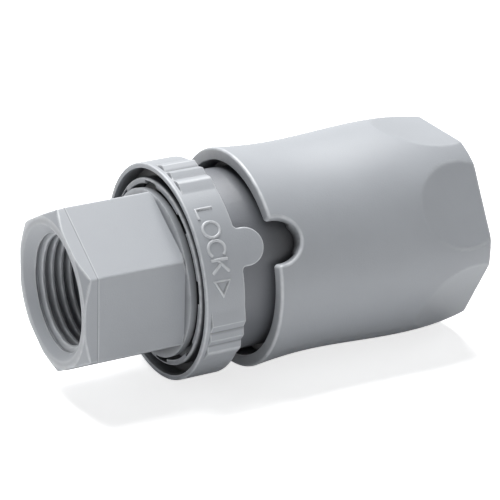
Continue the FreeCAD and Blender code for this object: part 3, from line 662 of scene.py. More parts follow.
class FinishShop:
    """Makes each finish's material once."""

    def __init__(self) -> None:
        """Starts with the shared effects and no materials."""
        self.groups = NodeGroups()
        self.made: dict[str, bpy.types.Material] = {}

    def material(self, finish: Finish) -> bpy.types.Material:
        """The material of a finish.

        Args:
            finish: The finish.

        Returns:
            Its material, made at the first call.
        """
        if finish.name not in self.made:
            self.made[finish.name] = self.build(finish)
        return self.made[finish.name]

    def build(self, finish: Finish) -> bpy.types.Material:
        """Builds a finish's node tree.

        Args:
            finish: The finish.

        Returns:
            The new material.
        """
        material = bpy.data.materials.new(finish.name)
        material.use_nodes = True
        tree = material.node_tree
        surface = tree.nodes["Principled BSDF"]
        surface.inputs["Metallic"].default_value = finish.metallic
        place = tree.nodes.new("ShaderNodeTexCoord")
        grain = tree.nodes.new("ShaderNodeGroup")
        grain.node_tree = self.groups.grain
        grain.inputs["Grain Scale"].default_value = 1.0 / finish.grain_size
        tree.links.new(place.outputs["Object"], grain.inputs["Place"])
        tone = self.toned(tree, finish, grain.outputs["Clouds"])
        # outward edges lightened as wear and painted highlight
        if finish.edge_lift:
            tone = self.lifted(tree, finish, tone, place.outputs["Object"])
        # painted shade in gaps, grooves and creases
        if finish.painted_gap_shade:
            tone = self.darkened(tree, finish, tone)
        tree.links.new(tone, surface.inputs["Base Color"])
        height = grain.outputs["Height"]
        if finish.drawn:
            lines = tree.nodes.new("ShaderNodeGroup")
            lines.node_tree = self.groups.wire
            lines.inputs["Line Scale"].default_value = 1.0 / finish.grain_size
            tree.links.new(place.outputs["Object"], lines.inputs["Place"])
            height = lines.outputs["Height"]
        bump = tree.nodes.new("ShaderNodeBump")
        bump.inputs["Distance"].default_value = finish.grain_depth
        tree.links.new(height, bump.inputs["Height"])
        tree.links.new(bump.outputs["Normal"], surface.inputs["Normal"])
        gloss = tree.nodes.new("ShaderNodeMapRange")
        gloss.inputs["To Min"].default_value = finish.roughness + GLOSS_SPREAD[0]
        gloss.inputs["To Max"].default_value = finish.roughness + GLOSS_SPREAD[1]
        tree.links.new(grain.outputs["Clouds"], gloss.inputs["Value"])
        tree.links.new(gloss.outputs["Result"], surface.inputs["Roughness"])
        return material

    @staticmethod
    def toned(
        tree: bpy.types.NodeTree, finish: Finish, clouds: bpy.types.NodeSocket
    ) -> bpy.types.NodeSocket:
        """The finish's colour with slow clouds of tone.

        Args:
            tree: The material's tree.
            finish: The finish.
            clouds: The clouds' value.

        Returns:
            The colour's socket.
        """
        mix = tree.nodes.new("ShaderNodeMix")
        mix.data_type = "RGBA"
        darker = [channel * (1.0 - finish.mottle) for channel in finish.colour]
        lighter = [min(channel * (1.0 + finish.mottle), 1.0) for channel in finish.colour]
        mix.inputs[MIX_FIRST].default_value = (*darker, 1.0)
        mix.inputs[MIX_SECOND].default_value = (*lighter, 1.0)
        tree.links.new(clouds, mix.inputs[MIX_FACTOR])
        return mix.outputs[MIX_RESULT]

    def lifted(
        self,
        tree: bpy.types.NodeTree,
        finish: Finish,
        tone: bpy.types.NodeSocket,
        place: bpy.types.NodeSocket,
    ) -> bpy.types.NodeSocket:
        """The colour lightened along outward edges, as wear and painted highlight.

        Args:
            tree: The material's tree.
            finish: The finish.
            tone: The colour so far.
            place: The object coordinates.

        Returns:
            The colour's socket.
        """
        edge = tree.nodes.new("ShaderNodeAttribute")
        edge.attribute_name = EDGE_ATTRIBUTE
        edge_wear_and_highlight = tree.nodes.new("ShaderNodeGroup")
        edge_wear_and_highlight.node_tree = self.groups.edge_wear_and_highlight
        edge_wear_and_highlight.inputs["Amount"].default_value = finish.edge_lift
        tree.links.new(place, edge_wear_and_highlight.inputs["Place"])
        tree.links.new(edge.outputs["Fac"], edge_wear_and_highlight.inputs["Edge"])
        return self.over(tree, tone, HIGHLIGHT_AND_WEAR_COLOUR, edge_wear_and_highlight.outputs["Mask"])

    @staticmethod
    def over(
        tree: bpy.types.NodeTree,
        tone: bpy.types.NodeSocket,
        colour: tuple[float, float, float, float],
        mask: bpy.types.NodeSocket,
    ) -> bpy.types.NodeSocket:
        """Lays a plain colour over the colour so far, where a mask shows it.

        Args:
            tree: The material's tree.
            tone: The colour so far.
            colour: The colour on top.
            mask: How much of it shows, from 0 to 1.

        Returns:
            The colour's socket.
        """
        mix = tree.nodes.new("ShaderNodeMix")
        mix.data_type = "RGBA"
        mix.inputs[MIX_SECOND].default_value = colour
        tree.links.new(mask, mix.inputs[MIX_FACTOR])
        tree.links.new(tone, mix.inputs[MIX_FIRST])
        return mix.outputs[MIX_RESULT]

    def darkened(
        self, tree: bpy.types.NodeTree, finish: Finish, tone: bpy.types.NodeSocket
    ) -> bpy.types.NodeSocket:
        """The colour darkened by painted shade in the gaps, grooves and creases.

        Args:
            tree: The material's tree.
            finish: The finish.
            tone: The colour so far.

        Returns:
            The colour's socket.
        """
        gap = tree.nodes.new("ShaderNodeAttribute")
        gap.attribute_name = GAP_SHADE_ATTRIBUTE
        amount = tree.nodes.new("ShaderNodeMath")
        amount.operation = "MULTIPLY"
        amount.inputs[1].default_value = finish.painted_gap_shade
        tree.links.new(gap.outputs["Fac"], amount.inputs[0])
        return self.over(tree, tone, GAP_SHADE_COLOUR, amount.outputs["Value"])


# Shared forms of the pieces


@dataclass(frozen=True)
class Hexagon:
    """A hexagonal stretch with rounded corners and a coned front and back."""

    front: float
    back: float
    across_flats: float
    turn: float
    front_cone_radius: float
    back_cone_radius: float
    corner_rounding: float = 0.35
    end_rounding: float = 0.22
    cone_slope: float = 1.73
    blend: float = 0.16
    corner_columns: tuple[float, ...] = (-1.6, -0.84, -0.42, 0.0, 0.42, 0.84, 1.6)

    def flat_radius(self, angle: float, shrink: float) -> float:
        """Radius of the rounded hexagon at an angle, with its flats moved in by shrink.

        Args:
            angle: Angle round the axis, in degrees.
            shrink: How far the flats are moved in, in millimetres.

        Returns:
            The radius after shaping, in millimetres.
        """
        half = self.across_flats / 2 - shrink
        from_corner = 30.0 - abs((angle - self.turn + 30.0) % 60.0 - 30.0)
        middle = (half - self.corner_rounding) / math.cos(math.radians(30.0))
        tangent = math.degrees(math.atan2(self.corner_rounding / 2,
                                          middle + self.corner_rounding * math.cos(math.radians(30.0))))
        if from_corner >= tangent:
            return half / math.cos(math.radians(30.0 - from_corner))
        turn = math.radians(from_corner)
        reach = math.sqrt(self.corner_rounding ** 2 - (middle * math.sin(turn)) ** 2)
        return middle * math.cos(turn) + reach

    def radius(self, x: float, angle: float) -> float:
        """Radius of the whole stretch at a place and an angle.

        Args:
            x: Place along the axis, in millimetres.
            angle: Angle round the axis, in degrees.

        Returns:
            The radius after shaping, in millimetres.
        """
        depth = min(max(x - self.front, 0.0), self.end_rounding)
        missing = self.end_rounding - depth
        shrink = self.end_rounding - math.sqrt(self.end_rounding ** 2 - missing ** 2)
        flat = self.flat_radius(angle, shrink)
        cone = self.front_cone_radius + (x - self.front) * self.cone_slope
        back_cone = self.back_cone_radius + (self.back - x) * self.cone_slope
        return soft_min(flat, min(cone, back_cone), self.blend)

    def corner_angles(self) -> list[float]:
        """Angles of the extra columns at the corners. Each plane cuts two opposite corners."""
        return [self.turn + 30.0 + 60.0 * side + offset
                for side in range(3) for offset in self.corner_columns]


@dataclass(frozen=True)
class PipeThread:
    """The ridges of a female pipe thread, cut back by a coned entry."""

    entry: float
    length: float
    inwards: int
    major_radius: float = 8.33
    minor_radius: float = 7.475
    pitch: float = 1.337
    crest_share: float = 0.2
    root_share: float = 0.16
    # painted shade in the grooves: its strength, and the radii and depths over which it comes in
    groove_dark: float = 0.4
    groove_radii: tuple[float, float] = (7.7, 8.2)
    groove_depths: tuple[float, float] = (0.9, 2.0)
    wall_band: float = 0.1

    def ridge(self, x: float, angle: float) -> float:
        """Share of the ridge's height at a place and an angle, 1 on its crest.

        Args:
            x: Place along the axis, in millimetres.
            angle: Angle round the axis, in degrees.

        Returns:
            The share, from 0 in the groove to 1 on the crest.
        """
        phase = (x / self.pitch + angle / 360.0) % 1.0
        from_crest = abs(phase - 0.5) * 2.0
        return 1.0 - smooth_step(from_crest, self.crest_share, 1.0 - self.root_share)

    def radius(self, x: float, angle: float) -> float:
        """Radius of the ridged wall at a place and an angle.

        Args:
            x: Place along the axis, in millimetres.
            angle: Angle round the axis, in degrees.

        Returns:
            The radius after shaping, in millimetres.
        """
        depth = (x - self.entry) * self.inwards
        fade = smooth_step(self.length - depth, 0.0, self.pitch)
        height = (self.major_radius - self.minor_radius) * self.ridge(x, angle) * fade
        return max(self.major_radius - height, self.major_radius - depth)

    def groove_shade(self, x: float, radius: float) -> float:
        """How deep in the grooves between the ridges a place lies, as the strength of its painted shade.

        Args:
            x: Place along the axis, in millimetres.
            radius: Distance from the axis, in millimetres.

        Returns:
            The depth, from 0 outside to 1 deep in a gap.
        """
        depth = (x - self.entry) * self.inwards
        grooves = smooth_step(radius, *self.groove_radii) * smooth_step(depth, *self.groove_depths)
        return self.groove_dark * grooves

    def holds(self, x: float, radius: float) -> bool:
        """Does the spun blank's wall at a place carry the thread?

        Args:
            x: Place along the axis, in millimetres.
            radius: Distance from the axis, in millimetres.

        Returns:
            True where the wall gets ridges.
        """
        depth = (x - self.entry) * self.inwards
        return 0.0 <= depth <= self.length and abs(radius - self.major_radius) < self.wall_band


# The coupling's pieces


@dataclass
class PlugBody:
    """The plug: hexagon, female thread, collar, shank, latch groove and nose."""

    hexagon: Hexagon = Hexagon(-0.98, 13.42, 20.8, -3.4, 10.45, 11.72)
    thread: PipeThread = PipeThread(0.0, 11.4, 1)
    blank_foot: float = 11.7
    step_place: float = 0.95
    step_height: float = 0.08
    step_length: float = 0.08
    # painted shade: on the collar and shank inside the socket's mouth, and deep in the bore
    slot_shade: tuple[float, float] = (14.45, 14.8)
    slot_shade_end: tuple[float, float] = (16.3, 16.9)
    bore_shade: tuple[float, float] = (9.5, 13.0)
    columns: int = 180
    fine_runs: tuple[tuple[float, float, float, float, float], ...] = (
        (-0.98, 1.25, 12.5, 12.7, 0.075), (12.9, 13.42, 12.5, 12.7, 0.07),
        (0.0, 11.4, 8.3, 8.35, 0.095), (1.25, 12.9, 12.5, 12.7, 1.5),
    )
    outline: list[Corner] = field(default_factory=lambda: [
        Corner(-0.98, 9.31, 0.16),
        Corner(-0.98, 12.6),
        Corner(1.25, 12.6),
        Corner(12.9, 12.6),
        Corner(13.42, 12.6),
        Corner(13.42, 11.6, 0.5),
        Corner(14.75, 11.6, 0.1),
        Corner(14.75, 10.9),
        Corner(16.42, 10.9, 0.3),
        Corner(16.42, 8.6, 0.2),
        Corner(29.32, 8.6, 0.3),
        Corner(29.32, 7.65, 0.2),
        Corner(32.42, 7.65, 0.2),
        Corner(32.42, 8.6, 0.3),
        Corner(34.02, 8.6, 0.4),
        Corner(34.02, 7.0, 0.2),
        Corner(38.52, 7.0, 0.4),
        Corner(38.52, 3.9, 0.2),
        Corner(37.72, 3.9, 0.1),
        Corner(36.12, 5.5, 0.1),
        Corner(36.12, 6.0),
        Corner(21.02, 6.0, 0.1),
        Corner(21.02, 6.6),
        Corner(20.22, 6.6),
        Corner(20.22, 6.0, 0.1),
        Corner(12.7, 6.0, 0.15),
        Corner(11.4, 8.33, 0.1),
        Corner(0.0, 8.33),
    ])

    def radius_at(self, x: float, radius: float, angle: float) -> float:
        """The plug's radius where the spun blank has one at a place and an angle.

        Args:
            x: Place along the axis, in millimetres.
            radius: Distance from the axis, in millimetres.
            angle: Angle round the axis, in degrees.

        Returns:
            The radius after shaping, in millimetres.
        """
        if radius > self.blank_foot:
            start = self.step_place - self.step_length / 2
            step = self.step_height * (1.0 - smooth_step(x, start, start + self.step_length))
            return self.hexagon.radius(x, angle) - step
        return self.thread.radius(x, angle) if self.thread.holds(x, radius) else radius

    def gap_at(self, x: float, radius: float) -> float:
        """How deep in a gap a place on the plug lies, which sets its painted shade.

        Args:
            x: Place along the axis, in millimetres.
            radius: Distance from the axis, in millimetres.

        Returns:
            The depth, from 0 outside to 1 deep in a gap.
        """
        if radius > self.thread.major_radius + self.thread.wall_band:
            return smooth_step(x, *self.slot_shade) * (1.0 - smooth_step(x, *self.slot_shade_end))
        return max(smooth_step(x, *self.bore_shade), self.thread.groove_shade(x, radius))

    def build(self, shop: FinishShop) -> bpy.types.Object:
        """Builds and dresses the plug.

        Args:
            shop: The shop that makes the materials.

        Returns:
            The dressed piece.
        """
        shape = turned_shape(self.outline, self.columns, self.fine_runs)
        divide_at_angles(shape, self.hexagon.corner_angles())
        reshape(shape, self.radius_at)
        return finished_piece(shape, "plug_moulding", "plug_body",
                              shop.material(SHELL_PLASTIC), self.gap_at)


@dataclass
class SocketBody:
    """The socket: notched mouth, tube with latch windows, seal groove, valve seat and rear tube."""

    mouth_back: float = 16.32
    notch_back: float = 16.02
    notch_radius: float = 12.6
    notch_half_angle: float = 7.5
    notch_first_angle: float = 6.0
    notches: int = 8
    lug_radius: float = 13.3
    lug_back: float = 17.22
    lug_half_angle: float = 5.0
    tube_radius: float = 12.5
    window_front: float = 29.02
    window_back: float = 32.72
    window_half_angle: float = 13.4
    windows: int = 6
    window_margin: float = 1.4
    inner_bore: float = 9.5
    wall_band: float = 0.1
    sliver: float = 0.02
    corner_turn: float = 0.03
    columns: int = 180
    # painted shade: inside the mouth under the lock ring, on the tube next to the sleeve's rim, and under
    # the sleeve
    mouth_shade: tuple[float, float] = (14.6, 15.2)
    mouth_end: float = 19.9
    strip_shade: tuple[float, float] = (23.8, 25.6)
    strip_shade_share: float = 0.35
    rear_shade: tuple[float, float] = (25.6, 29.0)
    outline: list[Corner] = field(default_factory=lambda: [
        Corner(14.52, 12.1, 0.15),
        Corner(14.52, 12.91, 0.3),
        Corner(16.32, 12.91, 0.12),
        Corner(16.32, 12.5),
        Corner(17.55, 12.5),
        Corner(17.55, 11.86),
        Corner(18.29, 11.86),
        Corner(18.29, 12.5),
        Corner(18.62, 12.5),
        Corner(18.62, 11.8),
        Corner(19.62, 11.8),
        Corner(19.62, 12.5, 0.1),
        Corner(35.92, 12.5, 0.3),
        Corner(35.92, 10.3, 0.2),
        Corner(49.32, 10.3, 0.2),
        Corner(49.32, 8.95, 0.1),
        Corner(45.12, 8.95),
        Corner(45.12, 8.2),
        Corner(41.02, 8.2, 0.1),
        Corner(41.02, 5.5, 0.1),
        Corner(39.42, 3.9, 0.1),
        Corner(38.82, 3.9, 0.1),
        Corner(38.82, 7.05, 0.1),
        Corner(36.96, 7.05),
        Corner(36.96, 8.79),
        Corner(35.18, 8.79),
        Corner(35.18, 7.05),
        Corner(34.32, 7.05, 0.2),
        Corner(34.32, 8.75),
        Corner(32.82, 8.75),
        Corner(32.82, 9.95),
        Corner(20.47, 9.95),
        Corner(20.47, 10.45),
        Corner(17.52, 10.45),
        Corner(17.52, 12.1, 0.1),
    ])

    def notch_angles(self) -> list[float]:
        """The middle of each mouth notch."""
        return [self.notch_first_angle + 360.0 * step / self.notches for step in range(self.notches)]

    def window_angles(self) -> list[float]:
        """The middle of each latch window."""
        return [360.0 * step / self.windows for step in range(self.windows)]

    def radius_at(self, x: float, radius: float, angle: float) -> float:
        """The socket's radius where the spun blank has one at a place and an angle.

        Args:
            x: Place along the axis, in millimetres.
            radius: Distance from the axis, in millimetres.
            angle: Angle round the axis, in degrees.

        Returns:
            The radius after shaping, in millimetres.
        """
        in_notch = any(abs(angle_between(angle, middle)) < self.notch_half_angle
                       for middle in self.notch_angles())
        in_lug = min(abs(angle_between(angle, lug)) for lug in (0.0, 180.0)) < self.lug_half_angle
        if in_notch and x < self.notch_back and radius < self.notch_radius:
            return self.notch_radius
        behind_mouth = self.mouth_back + self.sliver / 2 < x < self.lug_back
        if in_lug and behind_mouth and radius > self.tube_radius - self.wall_band:
            return self.lug_radius
        return radius

    def open_windows(self, shape: bmesh.types.BMesh) -> None:
        """Opens each latch window through the wall and joins its two rims.

        Args:
            shape: The mesh in the making, in millimetres.
        """
        for middle in self.window_angles():
            inside = [face for face in shape.faces if self.in_window(face.calc_center_median(), middle)]
            rims = [edge for face in inside for edge in face.edges
                    if any(other not in inside for other in edge.link_faces)]
            rims = list(dict.fromkeys(rims))
            bmesh.ops.delete(shape, geom=inside, context="FACES_KEEP_BOUNDARY")
            bmesh.ops.bridge_loops(shape, edges=[edge for edge in rims if edge.is_valid])

    def in_window(self, point: Vector, middle: float) -> bool:
        """Is a point of either wall inside the window at an angle?

        Args:
            point: The point.
            middle: Angle of the window's middle, in degrees.

        Returns:
            True inside the window.
        """
        near = abs(angle_between(angle_of(point), middle)) < self.window_half_angle
        along = self.window_front < point.x < self.window_back
        return near and along and radius_of(point) > self.inner_bore

    def gap_at(self, x: float, radius: float) -> float:
        """How deep in a gap a place on the socket lies, which sets its painted shade.

        Args:
            x: Place along the axis, in millimetres.
            radius: Distance from the axis, in millimetres; not used.

        Returns:
            The depth, from 0 outside to 1 deep in a gap.
        """
        if x < self.mouth_end:
            return smooth_step(x, *self.mouth_shade)
        strip = self.strip_shade_share * smooth_step(x, *self.strip_shade)
        return max(strip, smooth_step(x, *self.rear_shade))

    def build(self, shop: FinishShop) -> bpy.types.Object:
        """Builds and dresses the socket body.

        Args:
            shop: The shop that makes the materials.

        Returns:
            The dressed piece.
        """
        shape = turned_shape(self.outline, self.columns)
        divide_at_places(shape, (
            self.notch_back - self.sliver, self.notch_back, self.lug_back - self.sliver, self.lug_back,
            self.mouth_back + self.sliver, self.window_front, self.window_back,
            self.window_front - HOLD, self.window_back + HOLD,
        ))
        near_notches, near_windows = self.notch_angles()[:4], self.window_angles()[:3]
        sides = [middle + side * (half + extra)
                 for middles, half in ((near_notches, self.notch_half_angle), ((0.0,), self.lug_half_angle))
                 for middle in middles for side in (-1, 1)
                 for extra in (-self.corner_turn, self.corner_turn)]
        sides += [middle + side * (self.window_half_angle + extra)
                  for middle in near_windows for side in (-1, 1) for extra in (0.0, self.window_margin)]
        divide_at_angles(shape, sides)
        self.open_windows(shape)
        reshape(shape, self.radius_at)
        # the socket takes the darker copy of the shell plastic, as painted shade
        return finished_piece(shape, "socket_moulding", "socket_body",
                              shop.material(SHADED_SHELL_PLASTIC), self.gap_at)


@dataclass(frozen=True)
class Stroke:
    """One line of a raised letter: across and up in millimetres from the letter's lower left."""

    points: tuple[tuple[float, float], ...]
    closed: bool = False


@dataclass(frozen=True)
class Letter:
    """A raised letter or sign: the angle at which it starts and its strokes."""

    start_angle: float
    strokes: tuple[Stroke, ...]


def bowed(width: float, height: float, low: float, high: float, steps: int = 28) -> tuple:
    """Points on an ellipse of a letter's width and height, from one angle to another.

    Args:
        width: The letter's width.
        height: The letter's height.
        low: The first angle, in degrees.
        high: The last angle, in degrees.
        steps: How many steps the curve takes.

    Returns:
        The points across and up, in order.
    """
    return tuple(
        (width / 2 + width / 2 * math.cos(math.radians(low + (high - low) * step / steps)),
         height / 2 + height / 2 * math.sin(math.radians(low + (high - low) * step / steps)))
        for step in range(steps + 1)
    )


@dataclass
class LockRing:
    """The lock ring: turned wall with two tabs, grip ribs and raised lettering."""

    angle: float = 28.0
    front: float = 14.42
    back: float = 20.17
    radius: float = 14.95
    tab_tip: float = 23.82
    tab_width: float = 5.3
    tab_root_rounding: float = 0.55
    edge_rounding: float = 0.22
    bore_rounding: float = 0.12
    tip_gap: float = 0.005
    column_step: float = 2.0
    rib_height: float = 0.45
    rib_front: float = 15.1
    rib_front_length: float = 0.1
    rib_shift: float = 1.7
    rib_crests: tuple[float, ...] = (39.7, 48.3, 56.9)
    rib_valleys: tuple[float, ...] = (32.9, 44.0, 52.6, 63.7)
    crest_columns: tuple[float, ...] = (-0.5, -0.15, 0.15, 0.5)
    valley_columns: tuple[float, ...] = (-0.9, 0.0, 0.9)
    rib_reach: float = 4.3
    rib_outer_reach: float = 6.8
    front_bore: float = 14.24
    web_front: float = 16.92
    web_back: float = 18.32
    web_bore: float = 12.6
    rear_bore: float = 13.4
    recess_radius: float = 13.6
    recess_back: float = 17.52
    recess_low: float = -6.0
    recess_high: float = 46.0
    sliver: float = 0.02
    # painted shade in the bore, deeper towards the web
    bore_band: float = 0.2
    bore_shade: tuple[float, float] = (14.7, 15.8)
    letter_foot: float = 15.72
    stroke_radius: float = 0.21
    stroke_flattening: float = 0.85
    stroke_rounding: int = 3
    letters: tuple[Letter, ...] = (
        Letter(51.6, (Stroke(((0.0, 2.4), (0.0, 0.0), (1.45, 0.0))),)),
        Letter(43.9, (Stroke(bowed(2.2, 2.4, 0.0, 347.0), closed=True),)),
        Letter(33.8, (Stroke(bowed(2.3, 2.4, 42.0, 318.0)),)),
        Letter(24.0, (Stroke(((0.0, 0.0), (0.0, 2.4))), Stroke(((1.7, 2.4), (0.0, 0.95))),
                      Stroke(((0.55, 1.4), (1.75, 0.0))))),
        Letter(12.9, (Stroke(((0.0, 2.2), (0.0, 0.2), (1.85, 1.2)), closed=True),)),
    )

    def tab_angles(self) -> tuple[float, float]:
        """The middle of each tab."""
        return self.angle, self.angle + 180.0

    def tab_corners(self, middle: float) -> list[PlateCorner]:
        """The four corners of a tab, from its higher angle to its lower one.

        Args:
            middle: Angle of its middle, in degrees.

        Returns:
            The corners in order.
        """
        half = math.degrees(self.tab_width / 2 / self.radius)
        end = self.tab_width / 2 - self.tip_gap
        return [
            PlateCorner(self.back, middle + half, self.tab_root_rounding),
            PlateCorner(self.tab_tip, middle + half, end),
            PlateCorner(self.tab_tip, middle - half, end),
            PlateCorner(self.back, middle - half, self.tab_root_rounding),
        ]

    def rib(self, angle: float) -> float:
        """Height of the grip ribs at an angle: ridges with straight flanks on both sides of each tab.

        Args:
            angle: Angle round the axis, in degrees.

        Returns:
            The height above the wall, in millimetres.
        """
        height = 0.0
        for tab in self.tab_angles():
            away = abs(angle_between(angle, tab + self.rib_shift))
            for crest in self.rib_crests:
                first = crest == self.rib_crests[0] and away < crest
                last = crest == self.rib_crests[-1] and away > crest
                reach = self.rib_outer_reach if first or last else self.rib_reach
                rise = max(1.0 - abs(away - crest) / reach, 0.0)
                height = max(height, self.rib_height * rise)
        return height

    def outer(self, x: float, angle: float) -> float:
        """Outside radius.

        Args:
            x: Place along the axis, in millimetres.
            angle: Angle round the axis, in degrees.

        Returns:
            The radius after shaping, in millimetres.
        """
        rise = min(max((x - self.rib_front) / self.rib_front_length, 0.0), 1.0)
        return self.radius + self.rib(angle) * rise

    def inner(self, x: float, angle: float) -> float:
        """Inside radius, with the web and its recesses for the lugs.

        Args:
            x: Place along the axis, in millimetres.
            angle: Angle round the axis, in degrees.

        Returns:
            The radius after shaping, in millimetres.
        """
        if x < self.web_front + self.sliver / 2:
            return self.front_bore
        if x > self.web_back - self.sliver / 2:
            return self.rear_bore
        in_recess = any(self.recess_low < angle_between(angle, lug) < self.recess_high
                        for lug in (0.0, 180.0))
        if in_recess and x < self.recess_back - self.sliver / 2:
            return self.recess_radius
        return self.web_bore

    def dividing_angles(self) -> list[float]:
        """Where the ring is divided round the axis.

        Returns:
            The angles in degrees.
        """
        seam = self.angle - 90.0
        angles = [seam + self.column_step * step for step in range(1, round(360.0 / self.column_step))]
        for tab in self.tab_angles():
            middle = tab + self.rib_shift
            for side in (-1, 1):
                for crest in self.rib_crests:
                    angles += [middle + side * (crest + offset) for offset in self.crest_columns]
                for valley in self.rib_valleys:
                    angles += [middle + side * (valley + offset) for offset in self.valley_columns]
        return angles

    def add_lettering(self, shape: bmesh.types.BMesh) -> None:
        """Adds the raised letters to the ring, wrapped on its outside and sunk a little into it.

        Args:
            shape: The mesh in the making, in millimetres.
        """
        for number, letter in enumerate(self.letters):
            line = bpy.data.curves.new(f"letter_{number}", "CURVE")
            line.dimensions = "2D"
            line.bevel_depth = self.stroke_radius
            line.bevel_resolution = self.stroke_rounding
            line.use_fill_caps = True
            for stroke in letter.strokes:
                spline = line.splines.new("POLY")
                spline.points.add(len(stroke.points) - 1)
                for point, (across, up) in zip(spline.points, stroke.points):
                    point.co = (across, up, 0.0, 1.0)
                spline.use_cyclic_u = stroke.closed
            holder = bpy.data.objects.new(line.name, line)
            mesh = bpy.data.meshes.new_from_object(holder)
            for vertex in mesh.vertices:
                across, up, height = vertex.co
                angle = letter.start_angle - math.degrees(across / self.radius)
                radius = self.radius + height * self.stroke_flattening
                vertex.co = placed(self.letter_foot + up, radius, angle)
            shape.from_mesh(mesh)
            bpy.data.objects.remove(holder)
            bpy.data.meshes.remove(mesh)
        bmesh.ops.remove_doubles(shape, verts=shape.verts[:], dist=MERGE)

    def gap_at(self, x: float, radius: float) -> float:
        """How deep in a gap a place on the ring lies, which sets the painted shade in its bore.

        Args:
            x: Place along the axis, in millimetres.
            radius: Distance from the axis, in millimetres.

        Returns:
            The depth, from 0 outside to 1 deep in a gap.
        """
        return smooth_step(x, *self.bore_shade) if radius < self.front_bore + self.bore_band else 0.0

    def build(self, shop: FinishShop) -> bpy.types.Object:
        """Builds and dresses the ring.

        Args:
            shop: The shop that makes the materials.

        Returns:
            The dressed piece.
        """
        seam = self.angle - 90.0
        first, second = self.tab_angles()
        corners = [PlateCorner(self.front, seam), PlateCorner(self.front, seam + 360.0),
                   PlateCorner(self.back, seam + 360.0), *self.tab_corners(second),
                   *self.tab_corners(first), PlateCorner(self.back, seam)]
        plate = RolledPlate(corners, seam, self.radius, self.edge_rounding, self.bore_rounding)
        places = [self.rib_front - RIM_HOLD, self.rib_front, self.rib_front + self.rib_front_length,
                  self.rib_front + self.rib_front_length + RIM_HOLD, self.back - HOLD]
        for step in (self.web_front, self.recess_back, self.web_back):
            places += [step - self.sliver / 4, step + self.sliver]
        shape = plate.shape(self.outer, self.inner, self.dividing_angles(), places)
        self.add_lettering(shape)
        bmesh.ops.recalc_face_normals(shape, faces=shape.faces[:])
        return finished_piece(shape, "lock_ring_moulding", "lock_ring",
                              shop.material(SHELL_PLASTIC), self.gap_at)


@dataclass(frozen=True)
class Station:
    """A place on the sleeve's outside line: its x, its radius and its slope."""

    x: float
    r: float
    slope: float


